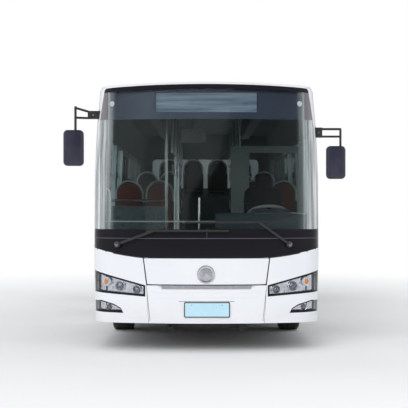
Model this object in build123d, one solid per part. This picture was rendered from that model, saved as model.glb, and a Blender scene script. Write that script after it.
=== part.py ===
from build123d import *
import math
import os

# Airport passenger bus. X runs to the bus's left, -Y is its front, Z is up, and the origin is on the ground.

# Body shell
body_length = 10500
body_width = 2500
roof_height = 2945
roof_sag = 45
skirt_height = 305
wall = 45
nose_bow = 3600
tail_bow = 9000
nose_corner = 300
tail_corner = 180
corner_facets = 7
belt_height = 1050
waist_height = 1900
brow_height = 2450
eave_height = 2860
skirt_tuck = (15, 30, 20)
waist_tuck = (3, 50, 15)
brow_tuck = (23, 112, 45)
eave_tuck = (56, 169, 78)
eave_turns = ((2903, 24), (2960, 95))
cantrail_height = 2560
panel_gap = 6
flap_gap = 10
flap_draft = 15
flap_side_depth = 60

# Glazing
glass = 10
glass_inset = 5
screen_edge = 420
screen_corner_height = 1135
screen_centre_height = 1016
screen_centre_half = 620
screen_crown_gap = 28
window_sill = 1150
window_head = 2380
window_radius = 90
pillar = 110
window_start = -3440
window_end = 4500
left_window_count = 5
cab_window = (-4560, -3560)
cab_window_sill = 1060
rear_window_half = 1000
rear_window_sill = 1860
rear_window_head = 2440

# Front face
flap_top_half = 692
flap_seam_half = 655
flap_foot_half = 611
flap_seam_height = 723
corner_rear = 550
lamp_outer_top = 875
lamp_outer_foot = 637
lamp_inner_top = 718
lamp_inner_foot = 594
lamp_inner_x = 665
lamp_depth = 95
lamp_tray = 25
lamp_front = 40
fog_outline = ((905, 412), (935, 466), (1010, 509), (1150, 547))
fog_outer = (420, 536)
lamp_lenses = ((1096, 752, 50), (945, 704, 54), (760, 671, 46))
grip_half = 535
grip_height = 49
grip_depth = 16

# Doors
door_width = 1240
front_door_y = -3950
middle_door_y = 0
door_sill = 402
door_floor_gap = 12
jamb_gap = 22
leaf_gap = 14
leaf_frame = 62
leaf_glass_foot = 560
post_inset = 32
post_offset = 40
pin_radius = 10
pin_length = 7
engine_door_half = 900
engine_door_foot = 480
engine_door_top = 1230

# Floor
floor_height = 400
deck = 50
rear_floor_height = 720
rear_step_y = 1500
shelf_height = 1300
shelf_y = 3850
cab_floor_height = 780
cab_floor_x = 300
cab_floor_rear = -3480
bulkhead_y = -4800
axle_notch = 170

# Running gear
wheelbase = 5200
front_overhang = 2600
tyre_radius = 478
tyre_width = 276
rim_radius = 286
rim_wall = 14
front_track = 2096
rear_track = 2104
twin_spacing = 310
kingpin_x = 870
steer_arm = 200
track_rod_height = 250
track_rod_radius = 18
arch_radius = 545
arch_clearance = 5
housing_half = 605
front_housing_x = 525
rear_housing_x = 570
housing_wall = 20
floor_joint = 2
wheel_facets = 36
rail_x = 400
rail_width = 80
rail_foot = 200
rail_top = 350
rail_raised = 590
tow_radius = 15
tow_depth = 50
tow_boss_length = 100
front_tow_height = 255
rear_tow_height = 255
seat_half = 190
seat_back = 700
wall_seat_x = 990
aisle_seat_x = 600
back_row_step = 220
beam_height = 230
beam_depth = 48
rear_spring_x = 495
rear_saddle_height = 560

# Worked out from the sizes above
front_y = -body_length / 2
rear_y = body_length / 2
half = body_width / 2
front_axle_y = front_y + front_overhang
rear_axle_y = front_axle_y + wheelbase
screen_rear_y = front_y + screen_edge
corner_rear_y = front_y + corner_rear
rear_seam_y = rear_y - 2 * tail_corner
glass_out = glass_inset + glass
wheel_centre = (700, -4560, 1480)
wheel_axis = (0, -0.42, -0.91)
mirror_y = screen_rear_y + wall
rail_end = rear_y - 350


def block(x, y, z):
    size = Box(x[1] - x[0], y[1] - y[0], z[1] - z[0])
    return Pos((x[0] + x[1]) / 2, (y[0] + y[1]) / 2, (z[0] + z[1]) / 2) * size


def mirrored(shape):
    return shape + mirror(shape, Plane.YZ)


def along_x(face, x):
    return extrude(Plane.YZ.offset(x[0]) * face, amount=x[1] - x[0], dir=(1, 0, 0))


def along_y(face, y):
    return extrude(Plane.XZ.offset(-y[1]) * face, amount=y[1] - y[0], dir=(0, -1, 0))


def along_z(face, z):
    return extrude(Plane.XY.offset(z[0]) * face, amount=z[1] - z[0], dir=(0, 0, 1))


def rod(start, end, radius):
    path = Vector(*end) - Vector(*start)
    place = Plane(origin=start, z_dir=path)
    return place * Cylinder(radius, path.length, align=(Align.CENTER, Align.CENTER, Align.MIN))


# Slim post with eight flats
def post(start, end, radius):
    path = Vector(*end) - Vector(*start)
    return extrude(Plane(origin=start, z_dir=path) * RegularPolygon(radius, 8), amount=path.length)


def rounded(x, z, radius):
    place = Pos((x[0] + x[1]) / 2, (z[0] + z[1]) / 2)
    return place * RectangleRounded(x[1] - x[0], z[1] - z[0], radius)


# Points of a rounded plan corner, from the bowed end to the straight side
def corner_points(width, middle_y, bow, radius, way):
    bow_y = middle_y + way * bow
    reach = math.sqrt((bow - radius) ** 2 - (width - radius) ** 2)
    centre_y = bow_y - way * reach
    start = math.asin((width - radius) / (bow - radius))
    points = []
    for i in range(corner_facets + 1):
        angle = start + (math.pi / 2 - start) * i / corner_facets
        points.append((width - radius + radius * math.sin(angle), centre_y - way * radius * math.cos(angle)))
    return points


# The plan outline at one height: bowed nose and tail, with rounded corners
def outline(height, tuck, inset):
    w = half - tuck[0] - inset
    nose = front_y + tuck[1] + inset
    tail = rear_y - tuck[2] - inset
    front = corner_points(w, nose, nose_bow - inset, nose_corner - inset, 1)
    back = corner_points(w, tail, tail_bow - inset, tail_corner - inset, -1)
    side = front + back[::-1]
    across = [(-x, y) for x, y in side]
    edges = [
        ThreePointArc(across[0], (0, nose), side[0]),
        Polyline(*side),
        ThreePointArc(side[-1], (0, tail), across[-1]),
        Polyline(*across[::-1]),
    ]
    return Plane.XY.offset(height) * make_face(edges)


# The arched cross-section that closes the body at the top
def crown(inset):
    top = roof_height - inset
    edge = top - roof_sag
    face = make_face([
        Line((-body_width, 0), (body_width, 0)),
        Line((body_width, 0), (body_width, edge - 3 * roof_sag)),
        ThreePointArc((body_width, edge - 3 * roof_sag), (0, top), (-body_width, edge - 3 * roof_sag)),
        Line((-body_width, edge - 3 * roof_sag), (-body_width, 0)),
    ])
    return along_y(face, (2 * front_y, 2 * rear_y))


# The whole body as a solid, drawn in by the inset on every side
def envelope(inset, foot=skirt_height):
    sections = [
        outline(foot, skirt_tuck, inset),
        outline(belt_height, (0, 0, 0), inset),
        outline(waist_height, waist_tuck, inset),
        outline(brow_height, brow_tuck, inset),
        outline(eave_height, eave_tuck, inset),
    ]
    for height, turn in eave_turns:
        sections.append(outline(height, eave_tuck, inset + turn))
    return loft(sections, ruled=True) & crown(inset)


outer_skin = envelope(0)
lining = envelope(wall, skirt_height - wall)
shell = outer_skin - lining
glass_face = envelope(glass_inset)
glass_band = glass_face - envelope(glass_out)


# Glass outline seen from the front: a flat foot that sweeps up to the corners
def screen_region():
    side = half + wall
    foot = make_face([
        ThreePointArc((-side, screen_corner_height), (-(side + screen_centre_half) / 2,
                      (screen_corner_height + 2 * screen_centre_height) / 3),
                      (-screen_centre_half, screen_centre_height)),
        Line((-screen_centre_half, screen_centre_height), (screen_centre_half, screen_centre_height)),
        ThreePointArc((screen_centre_half, screen_centre_height), ((side + screen_centre_half) / 2,
                      (screen_corner_height + 2 * screen_centre_height) / 3),
                      (side, screen_corner_height)),
        Line((side, screen_corner_height), (side, roof_height)),
        Line((side, roof_height), (-side, roof_height)),
        Line((-side, roof_height), (-side, screen_corner_height)),
    ])
    front = along_y(foot, (front_y - wall, screen_rear_y))
    return front & crown(screen_crown_gap)


screen_space = screen_region()


# Evenly spaced windows between two places along the side
def panes(start, end, count):
    width = (end - start - (count - 1) * pillar) / count
    return [(start + i * (width + pillar), start + i * (width + pillar) + width) for i in range(count)]


def window_cut(side, y, z):
    x = (side * half / 2, side * (half + wall))
    return along_x(rounded(y, z, window_radius), (min(x), max(x)))


def left_windows():
    cuts = [window_cut(1, cab_window, (cab_window_sill, window_head))]
    for y in panes(window_start, window_end, left_window_count):
        cuts.append(window_cut(1, y, (window_sill, window_head)))
    return cuts


def right_windows():
    fore_start = front_door_y + door_width / 2 + pillar
    fore_end = middle_door_y - door_width / 2 - pillar
    aft_start = middle_door_y + door_width / 2 + pillar
    cuts = []
    for y in panes(fore_start, fore_end, 2) + panes(aft_start, window_end, 3):
        cuts.append(window_cut(-1, y, (window_sill, window_head)))
    return cuts


# Wheel arch cut through a side wall, open at the foot
def arch(side, axle_y):
    x = (side * (half - 3 * wall), side * (half + wall))
    round_top = Pos(axle_y, tyre_radius) * Circle(arch_radius)
    legs = Pos(axle_y, tyre_radius / 2) * Rectangle(2 * arch_radius, tyre_radius)
    return along_x(round_top + legs, (min(x), max(x)))


def side_wall(side):
    x = (side * (half - 4 * wall), side * (half + wall))
    lower = block((min(x), max(x)), (corner_rear_y, rear_seam_y), (0, screen_corner_height))
    upper = block((min(x), max(x)), (screen_rear_y, rear_seam_y), (screen_corner_height, cantrail_height))
    return shell & (lower + upper) - arch(side, front_axle_y) - arch(side, rear_axle_y)


def door_space(centre):
    x = (-half - wall, -half / 2)
    y = (centre - door_width / 2, centre + door_width / 2)
    return block(x, y, (door_sill, window_head))


def wall_left():
    return side_wall(1) - left_windows()


def wall_right():
    return side_wall(-1) - right_windows() - door_space(front_door_y) - door_space(middle_door_y)


def side_windows_left():
    return glass_band & Compound(left_windows())


def side_windows_right():
    return glass_band & Compound(right_windows())


def roof_panel():
    top = block((-body_width, body_width), (2 * front_y, 2 * rear_y), (cantrail_height, 2 * roof_height))
    return shell & top - screen_space


def windscreen():
    return glass_band & screen_space


# The lines that part the nose into its middle and its two corners
def nose_middle(grow):
    foot = flap_foot_half + grow
    seam = flap_seam_half + grow
    top = flap_top_half + grow
    face = Polygon((-foot, 0), (foot, 0), (seam, flap_seam_height), (top, screen_centre_height),
                   (-top, screen_centre_height), (-seam, flap_seam_height), align=None)
    return along_y(face, (front_y - wall, corner_rear_y))


def lamp_face(grow):
    side = half + wall
    slope_top = (lamp_outer_top - lamp_inner_top) / (half - lamp_inner_x)
    slope_foot = (lamp_outer_foot - lamp_inner_foot) / (half - lamp_inner_x)
    inner = lamp_inner_x - grow
    return Polygon((inner, lamp_inner_foot - grow), (side, lamp_inner_foot - grow + slope_foot * (side - inner)),
                   (side, lamp_inner_top + grow + slope_top * (side - inner)), (inner, lamp_inner_top + grow),
                   align=None)


def lamp_space():
    return along_y(lamp_face(0), (front_y - wall, front_y + screen_edge))


def fog_space():
    side = half + wall
    face = Polygon(*fog_outline, (side, fog_outer[1]), (side, fog_outer[0]), align=None)
    return along_y(face, (front_y - wall, front_y + screen_edge))


def front_corner_left():
    region = block((0, body_width), (front_y - wall, corner_rear_y), (0, screen_corner_height))
    corner = shell & region - screen_space - nose_middle(0)
    return corner - lamp_space() - fog_space()


def front_corner_right():
    return mirror(front_corner_left(), Plane.YZ)


# Middle of the bumper, with the finger grip under the flap
def front_bumper():
    below = block((-half, half), (front_y - wall, corner_rear_y), (0, flap_seam_height - panel_gap))
    top = flap_seam_height
    grip = Polygon((-grip_half, top), (grip_half, top), (grip_half - 60, top - grip_height),
                   (-grip_half + 60, top - grip_height), align=None)
    recess = along_y(grip, (front_y - wall, corner_rear_y)) - envelope(grip_depth)
    return shell & nose_middle(-panel_gap / 2) & below - recess


# Half the flap's width at one height, inside its side gap
def flap_half(height):
    rise = (height - flap_seam_height) / (screen_centre_height - flap_seam_height)
    return flap_seam_half + rise * (flap_top_half - flap_seam_half) - flap_gap


# The flap's sides draw in behind the skin, so that it swings up between the slanted corners
def front_hatch():
    foot = flap_seam_height + panel_gap
    top = screen_centre_height - panel_gap
    face = Polygon((-flap_half(foot), foot), (flap_half(foot), foot), (flap_half(top), top),
                   (-flap_half(top), top), align=None)
    side_y = front_y + flap_side_depth
    skin = along_y(face, (front_y - wall, side_y))
    drawn_in = extrude(Plane.XZ.offset(-side_y) * face, amount=2 * wall, dir=(0, 1, 0), taper=flap_draft)
    return shell & (skin + drawn_in)


# Upright band that follows the plan outline between two insets
def plan_band(outer, inner, z):
    band = outline(0, (0, 0, 0), outer) - outline(0, (0, 0, 0), inner)
    return along_z(band, z)


# Lamp bodies behind the clear covers: a curved tray with round lenses and a round indicator
def lamp_bodies():
    spaces = lamp_space() + fog_space()
    region = block((0, half), (front_y, bulkhead_y - wall), (0, belt_height)) & spaces
    tray = plan_band(lamp_depth - lamp_tray, lamp_depth, (0, belt_height)) & region
    front = along_z(outline(0, (0, 0, 0), lamp_front), (0, belt_height))
    front = front - along_z(outline(0, (0, 0, 0), lamp_depth), (0, belt_height))
    for x, z, radius in lamp_lenses:
        barrel = along_y(Pos(x, z) * Circle(radius), (front_y, bulkhead_y - wall))
        tray = tray + (front & barrel)
    return mirrored(tray)


def lamp_covers():
    left = glass_band & (lamp_space() + fog_space())
    left = left & block((0, body_width), (front_y - wall, screen_rear_y), (0, screen_corner_height))
    return mirrored(left)


def rear_wall():
    region = block((-body_width, body_width), (rear_seam_y, rear_y + wall), (0, cantrail_height))
    window = along_y(rounded((-rear_window_half, rear_window_half), (rear_window_sill, rear_window_head),
                             window_radius), (0, rear_y + wall))
    lid = block((-engine_door_half, engine_door_half), (0, rear_y + wall), (engine_door_foot, engine_door_top))
    return shell & region - window - lid - rear_lamp_space()


def rear_window():
    window = along_y(rounded((-rear_window_half, rear_window_half), (rear_window_sill, rear_window_head),
                             window_radius), (0, rear_y + wall))
    return glass_band & window


def rear_lamp_space():
    lamp = along_y(rounded((1010, 1130), (700, 1300), 30), (rear_y - 2 * tail_corner, rear_y + wall))
    return mirrored(lamp)


def rear_lamps():
    return (envelope(2) - envelope(wall)) & rear_lamp_space()


def engine_door():
    lid = block((-engine_door_half + panel_gap, engine_door_half - panel_gap), (0, rear_y + wall),
                (engine_door_foot + panel_gap, engine_door_top - panel_gap))
    slats = [block((-600, 600), (0, rear_y + wall), (z, z + 22)) for z in range(620, 1100, 60)]
    return shell & lid - Compound(slats)


# One door leaf: a frame cut from the side wall, with its pane
def leaf_space(centre, fore, margin):
    low = centre - door_width / 2 + jamb_gap + margin
    high = centre - leaf_gap / 2 - margin
    if not fore:
        low, high = centre + leaf_gap / 2 + margin, centre + door_width / 2 - jamb_gap - margin
    return low, high


def leaf_window(centre, fore):
    z = (leaf_glass_foot, window_head - door_floor_gap - leaf_frame)
    return window_cut(-1, leaf_space(centre, fore, leaf_frame), z)


def leaf_frame_piece(centre, fore):
    x = (-half - wall, -half / 2)
    z = (door_sill + door_floor_gap, window_head - door_floor_gap)
    leaf = shell & block(x, leaf_space(centre, fore, 0), z) - leaf_window(centre, fore)
    return leaf + leaf_pins(centre, fore, z)


# Round pins at the foot and head of the leaf, on the line it turns about
def leaf_pins(centre, fore, z):
    offset = door_width / 2 - jamb_gap - post_offset
    y = centre - offset if fore else centre + offset
    x = post_inset - half
    return (rod((x, y, z[0] - pin_length), (x, y, z[0] + pin_length), pin_radius)
            + rod((x, y, z[1] - pin_length), (x, y, z[1] + pin_length), pin_radius))


def leaf_pane(centre, fore):
    return glass_band & leaf_window(centre, fore)


# One level of the floor between two places, as wide as the lining
def floor_level(y, top, foot=None):
    low = top - deck if foot is None else foot
    return block((-body_width, body_width), y, (low, top)) & lining


# The two panels before and behind a pair of wheel housings, and the strip between them
def floor_panels(level, axle_y, inner, y):
    reach = housing_half + housing_wall
    start = axle_y - reach
    end = axle_y + reach
    strip = (housing_wall - inner, inner - housing_wall)
    wide = (-body_width, body_width)
    tall = (0, roof_height)
    return [level & block(wide, (y[0], start - floor_joint), tall), level & block(strip, (start, end), tall),
            level & block(wide, (end + floor_joint, y[1]), tall)]


# Floor in three levels, from the entry to the shelf over the engine, laid as panels
def floor_deck():
    low = floor_level((bulkhead_y, rear_step_y - floor_joint), floor_height)
    panels = floor_panels(low, front_axle_y, front_housing_x, (bulkhead_y, rear_step_y))
    cab = block((cab_floor_x - floor_joint, body_width), (bulkhead_y - wall, cab_floor_rear + floor_joint),
                (0, roof_height))
    panels[0] = panels[0] - cab
    middle = floor_level((rear_step_y, shelf_y - floor_joint), rear_floor_height)
    middle = floor_panels(middle, rear_axle_y, rear_housing_x, (rear_step_y, shelf_y))
    riser = floor_level((rear_step_y, rear_step_y + deck), rear_floor_height, floor_height - deck)
    middle[0] = middle[0] + riser
    shelf = floor_level((shelf_y, rear_y), shelf_height)
    shelf = shelf + floor_level((shelf_y, shelf_y + deck), shelf_height, rear_floor_height - deck)
    return Compound(panels + middle + [shelf])


# Raised floor under the driver's place, hollow below
def cab_floor():
    cab = block((cab_floor_x, half), (bulkhead_y, cab_floor_rear), (floor_height - deck, cab_floor_height))
    under = block((cab_floor_x + deck, half - 2 * wall), (bulkhead_y + deck, cab_floor_rear - deck),
                  (0, cab_floor_height - deck))
    return (cab & lining) - under


def wheel_housings():
    boxes = []
    for axle_y, inner in ((front_axle_y, front_housing_x), (rear_axle_y, rear_housing_x)):
        box = (housing(axle_y, inner, housing_wall) & lining) - housing(axle_y, inner, 0)
        notch = block((inner - 2 * housing_wall, half - 2 * wall), (rear_axle_y - axle_notch, rear_axle_y + axle_notch),
                      (0, tyre_radius + axle_notch))
        box = box - notch
        boxes = boxes + [box, mirror(box, Plane.YZ)]
    return Compound(boxes)


# Space round a wheel, grown by the sheet's thickness for its outside
def housing(axle_y, inner, grow):
    top = tyre_radius + arch_radius + arch_clearance + grow
    reach = housing_half + grow
    face = Pos(axle_y, top / 2) * Rectangle(2 * reach, top)
    high = [v for v in face.vertices() if v.Y > top - 1]
    face = fillet(high, arch_radius / 2)
    return along_x(face, (inner - grow, body_width)) & block(
        (0, body_width), (axle_y - reach, axle_y + reach), (floor_height - deck - (0 if grow else deck), 2 * top))


# Frame rails: low under the entry floor, notched over the front axle
def frame_rails_front():
    over = 290
    rail = Polygon(
        (bulkhead_y, rail_foot), (front_axle_y - 300, rail_foot), (front_axle_y - 220, over),
        (front_axle_y + 380, over), (front_axle_y + 460, rail_foot), (rear_step_y + deck, rail_foot),
        (rear_step_y + deck, rail_top), (bulkhead_y, rail_top), align=None)
    rails = mirrored(along_x(rail, (rail_x - rail_width / 2, rail_x + rail_width / 2)))
    return rails + tow_socket((-rail_x, bulkhead_y, front_tow_height), -1)


# Rear rails: raised over the driven axle, with a bracket down to the towing point
def frame_rails_rear():
    start = rear_step_y + deck
    top = rear_floor_height - deck
    bracket_foot = rear_tow_height - 2 * tow_radius
    rail = Polygon(
        (start, rail_foot), (rear_axle_y - 600, rail_foot), (rear_axle_y - 320, rail_raised),
        (rail_end - 120, rail_raised), (rail_end - 120, bracket_foot), (rail_end, bracket_foot),
        (rail_end, top), (start, top), align=None)
    rails = mirrored(along_x(rail, (rail_x - rail_width / 2, rail_x + rail_width / 2)))
    return rails + tow_socket((rail_x, rail_end, rear_tow_height), 1)


def crossmembers():
    inner = rail_x - rail_width / 2
    members = []
    for y in (bulkhead_y + 60, -4000, -1800, -600, 600):
        members.append(block((-inner, inner), (y, y + 60), (rail_foot + 20, rail_top)))
    members.append(block((-inner, inner), (rail_end - 60, rail_end), (rail_raised, rear_floor_height - deck)))
    return Compound(members)


# Blind threaded boss for a screw-in towing eye
def tow_socket(end, way):
    x, y, z = end
    mouth = y + way * tow_boss_length
    boss = rod((x, y, z), (x, mouth, z), 2 * tow_radius)
    return boss - rod((x, mouth, z), (x, mouth - way * tow_depth, z), tow_radius)


# A body turned about the X axis, with flat facets
def turned(profile, facets):
    rings = []
    for i in range(facets):
        angle = 2 * math.pi * i / facets
        rings.append([Vector(x, r * math.cos(angle), r * math.sin(angle)) for x, r in profile])
    faces = []
    for i, ring in enumerate(rings):
        after = rings[(i + 1) % facets]
        for j in range(len(profile)):
            k = (j + 1) % len(profile)
            faces.append(Face(Wire.make_polygon([ring[j], ring[k], after[k], after[j]])))
    return Solid(Shell(faces)).clean()


def tyre(centre_x, axle_y):
    w = tyre_width / 2
    r = tyre_radius
    section = [(-w, rim_radius), (w, rim_radius), (w, r - 70), (w - 26, r), (-w + 26, r), (-w, r - 70)]
    return Pos(centre_x, axle_y, tyre_radius) * turned(section, wheel_facets)


# Steel disc wheel: barrel, dished disc and hub, with the dish on the outer side
def rim(centre_x, axle_y, side, dish, bore):
    w = tyre_width / 2 - 14
    r = rim_radius
    section = [(-w, r - rim_wall), (dish - 14, r - rim_wall), (dish - 40, 130), (dish - 70, 130), (dish - 70, bore - 5),
               (dish + 20, bore - 5), (dish + 20, 130), (dish, r - rim_wall), (w, r - rim_wall), (w, r), (-w, r)]
    wheel = turned(section, wheel_facets) - Rot(0, 90, 0) * Cylinder(bore, 2 * tyre_width)
    if side < 0:
        wheel = mirror(wheel, Plane.YZ)
    return Pos(centre_x, axle_y, tyre_radius) * wheel


# Twin wheels: two discs back to back, joined by the hub between them
def twin_rims(outer_x, inner_x, side):
    place = Pos((outer_x + inner_x) / 2, rear_axle_y, tyre_radius) * Rot(0, 90, 0)
    hub = place * (Cylinder(128, twin_spacing - 120) - Cylinder(62, twin_spacing))
    return rim(outer_x, rear_axle_y, -side, 60, 62) + rim(inner_x, rear_axle_y, side, 60, 62) + hub


def axle_front():
    drop = beam_height
    depth = beam_depth
    eye = 50
    line = [(-kingpin_x, tyre_radius), (-kingpin_x + 90, tyre_radius), (-590, drop), (590, drop),
            (kingpin_x - 90, tyre_radius), (kingpin_x, tyre_radius)]
    upper = [(x, z + depth) for x, z in line]
    lower = [(x, z - depth) for x, z in reversed(line)]
    beam = along_y(Polygon(*upper, *lower, align=None), (front_axle_y - 45, front_axle_y + 45))
    for side in (-1, 1):
        beam = beam + Pos(side * kingpin_x, front_axle_y, tyre_radius) * Cylinder(eye, 2 * depth)
        beam = beam - Pos(side * kingpin_x, front_axle_y, tyre_radius) * Cylinder(22.5, 4 * depth)
    return beam


# Steering knuckle with its forked lugs, kingpin, stub axle and straight arm
def knuckle(side):
    x = side * kingpin_x
    y = front_axle_y
    z = tyre_radius
    place = Pos(x, y, 0)
    upper = place * Pos(0, 0, z + 90) * Cylinder(48, 70)
    lower = place * Pos(0, 0, z - 112) * Cylinder(48, 114)
    pin = place * Pos(0, 0, z - 20) * Cylinder(22, 220)
    cheek = block(sorted((x + side * 58, x + side * 96)), (y - 44, y + 44), (z - 169, z + 125))
    tie = block(sorted((x, x + side * 70)), (y - 44, y + 44), (z + 57, z + 125))
    base = block(sorted((x, x + side * 70)), (y - 44, y + 44), (z - 169, z - 57))
    stub = rod((x + side * 90, y, z), (side * (front_track / 2 + 95), y, z), 40)
    arm = block((x - 22, x + 22), (y, y + steer_arm), (z - 169, z - 134))
    tip = place * Pos(0, steer_arm, z - 151.5) * Cylinder(26, 35)
    ball = rod((x, y + steer_arm, track_rod_height - track_rod_radius), (x, y + steer_arm, z - 150), 11)
    return upper + lower + pin + cheek + tie + base + stub + arm + tip + ball


def track_rod():
    y = front_axle_y + steer_arm
    bar = rod((-kingpin_x, y, track_rod_height), (kingpin_x, y, track_rod_height), track_rod_radius)
    for side in (-1, 1):
        bar = bar + Pos(side * kingpin_x, y, track_rod_height) * Cylinder(28, 2 * track_rod_radius + 8)
        bar = bar - Pos(side * kingpin_x, y, track_rod_height) * Cylinder(11.5, 100)
    return bar


# Rear axle casing with the pinion nose, the stub ends and a saddle for each air spring
def axle_rear():
    section = [(-540, 20), (540, 20), (540, 75), (200, 75), (120, 170), (-120, 170), (-200, 75), (-540, 75)]
    casing = Pos(0, rear_axle_y, tyre_radius) * turned(section, wheel_facets // 2)
    nose = rod((0, rear_axle_y, tyre_radius), (0, rear_axle_y + 360, tyre_radius), 95)
    end = rear_track / 2 + 60
    shaft = rod((-end, rear_axle_y, tyre_radius), (end, rear_axle_y, tyre_radius), 60)
    y = (rear_axle_y - 60, rear_axle_y + 60)
    saddle = mirrored(block((rear_spring_x - 52, rear_spring_x + 52), y, (tyre_radius, rear_saddle_height)))
    return casing + nose + shaft + saddle


def air_springs():
    springs = []
    for side in (-1, 1):
        front = side * (rail_x + front_housing_x - housing_wall + rail_width / 2) / 2
        springs.append(rod((front, front_axle_y, beam_height + beam_depth),
                           (front, front_axle_y, floor_height - deck), 30))
        rear = side * rear_spring_x
        springs.append(rod((rear, rear_axle_y, rear_saddle_height),
                           (rear, rear_axle_y, rear_floor_height - deck), 50))
    return Compound(springs)


def engine_block():
    reach = rail_x - rail_width / 2
    return block((-reach, reach), (shelf_y + 100, rear_y - 430), (rail_top + 20, shelf_height - deck - 60))


# One seat: pedestal, cushion and a back with a round top
def seat(x, y, base, rise):
    pedestal = block((x - 90, x + 90), (y - 330, y - 120), (base, base + rise))
    cushion = block((x - seat_half, x + seat_half), (y - 430, y - 20), (base + rise, base + rise + 80))
    face = Pos(x, base + rise + seat_back / 2) * Rectangle(2 * seat_half, seat_back)
    high = face.vertices().sort_by(Axis.Y)[-2:]
    back = along_y(fillet(high, seat_half - 20), (y - 70, y))
    return pedestal + cushion + back


def passenger_seats():
    housing_top = tyre_radius + arch_radius + arch_clearance + housing_wall
    places = []
    for x in (-wall_seat_x, -aisle_seat_x, aisle_seat_x, wall_seat_x):
        places.append((x, front_axle_y + 250, housing_top, 160))
        places.append((x, rear_axle_y + 250, housing_top, 410))
        places.append((x, shelf_y - 40, rear_floor_height, 380))
    for x in (-3 * back_row_step, -back_row_step, back_row_step, 3 * back_row_step):
        places.append((x, rear_y - 800, shelf_height, 420))
    return Compound([seat(*place) for place in places])


def driver_seat():
    x = 675
    y = -3900
    cushion = block((x - 240, x + 240), (y - 480, y - 20), (1150, 1260))
    sides = [(265, 0), (265, 540), (215, 600), (120, 640), (107, 790)]
    face = Polygon(*sides, *[(-a, b) for a, b in reversed(sides)], align=None)
    back = Pos(x, y - 20, 1200) * Rot(-5, 0, 0) * along_y(face, (-80, 0))
    post = block((x - 150, x + 150), (y - 380, y - 100), (cab_floor_height, 1150))
    return cushion + back + post


def column_shaft():
    foot = Vector(*wheel_centre) + Vector(*wheel_axis) * 600
    return rod(wheel_centre, tuple(foot), 40)


def steering_column():
    place = Plane(origin=wheel_centre, z_dir=wheel_axis)
    section = [(-8, 210), (8, 210), (17, 225), (8, 240), (-8, 240), (-17, 225)]
    ring = place * Rot(0, 90, 0) * turned(section, wheel_facets)
    hub = place * Cylinder(60, 50)
    spokes = place * Box(430, 40, 18)
    return ring + hub + spokes + column_shaft()


def dashboard():
    foot = cab_floor_height
    face = Polygon((-5150, foot), (-4700, foot), (-4640, 1300), (-4760, 1500), (-5000, 1480), (-5150, 1340),
                   align=None)
    inside = along_z(outline(0, (0, 0, 0), lamp_depth + 10), (0, waist_height))
    return (along_x(face, (100, half)) & inside) - column_shaft()


def cab_partition():
    y = cab_floor_rear - 60
    panel = block((cab_floor_x, half), (y - 20, y + 20), (cab_floor_height, 2300)) & lining
    return panel - block((cab_floor_x + 220, half - 150), (y - 50, y + 50), (1350, 2220))


def door_screen():
    y = front_axle_y - housing_half - 45
    panel = block((-half, -500), (y - 8, y + 8), (floor_height, 1575)) & lining
    upright = post((-490, y, floor_height), (-490, y, roof_height), 17) & lining
    rail = post((-half, y, 1640), (-490, y, 1640), 15) & lining
    return panel + upright + rail


def handrails():
    bars = []
    for side in (-1, 1):
        rail = post((side * 430, -2900, 2260), (side * 430, 4300, 2260), 17)
        for y in (-2850, 2700, 4250):
            rail = rail + (post((side * 430, y, 2260), (side * 430, y, roof_height), 14) & lining)
        for y in (-1100, 800):
            rail = rail + (post((side * 430, y, floor_height), (side * 430, y, roof_height), 17) & lining)
        bars.append(rail)
    return Compound(bars)


# Sign box with the curved header board that hangs behind the top of the glass
def destination_sign():
    region = block((-half, half), (front_y, screen_rear_y - 40), (2530, roof_height))
    board = (envelope(wall) - envelope(wall + 10)) & region
    window = block((-560, 560), (front_y, front_y + screen_edge), (2606, 2835))
    box = block((-600, 600), (front_y, front_y + 420), (2580, 2860)) & envelope(wall + 10)
    return board - window + (box - block((-560, 560), (front_y, front_y + 330), (2606, 2835)))


# Parked wiper: arm and blade follow the curve of the glass outside it
def wiper(pivot, elbow, blade):
    front = (front_y - 3 * wall, screen_rear_y)
    direction = math.atan2(elbow[1] - pivot[1], elbow[0] - pivot[0])
    across = (-12 * math.sin(direction), 12 * math.cos(direction))
    arm = Polygon((pivot[0] - across[0], pivot[1] - across[1]), (elbow[0] - across[0], elbow[1] - across[1]),
                  (elbow[0] + across[0], elbow[1] + across[1]), (pivot[0] + across[0], pivot[1] + across[1]),
                  align=None)
    height = blade[2]
    return (wiper_arm_band & along_y(arm, front), wiper_blade_band & block(blade[:2], front, (height - 9, height + 9)),
            wiper_cap_band & along_y(Pos(*pivot) * Circle(34), front))


wiper_blade_band = envelope(-30) - glass_face
wiper_arm_band = envelope(-42) - envelope(-30)
wiper_cap_band = envelope(-52) - glass_face


def wipers():
    right = wiper((-974, 1162), (-560, 1318), (-655, 243, 1310))
    left = wiper((904, 1162), (560, 1408), (-233, 666, 1403))
    return Compound([right[0] + right[1] + right[2], left[0] + left[1] + left[2]])


def mirror_arms():
    y = mirror_y
    right = block((-1322, -1100), (y - 30, y + 30), (2548, 2637)) - outer_skin
    right = right + post((-1310, y, 2628), (-1461, y, 2672), 13) + post((-1310, y, 2558), (-1461, y, 2563), 13)
    right = right + post((-1461, y, 2690), (-1461, y, 2390), 14)
    left = block((1100, 1290), (y - 30, y + 30), (2340, 2452)) - outer_skin
    left = left + mirror_bend() + post((1280, y, 2352), (1495, y, 2352), 12)
    return Compound([right, left])


# The left mirror's tube, turned down into the head
def mirror_bend():
    y = mirror_y
    return post((1280, y, 2435), (1502, y, 2435), 13) + post((1495, y, 2435), (1495, y, 2210), 13)


def mirror_head(centre, width, height, depth):
    head = extrude(Plane.XZ * RectangleRounded(width, height, width / 3), amount=depth / 2, both=True)
    head = chamfer(head.faces().sort_by(Axis.Y)[0].edges(), depth / 4)
    return Pos(*centre) * head


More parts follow.
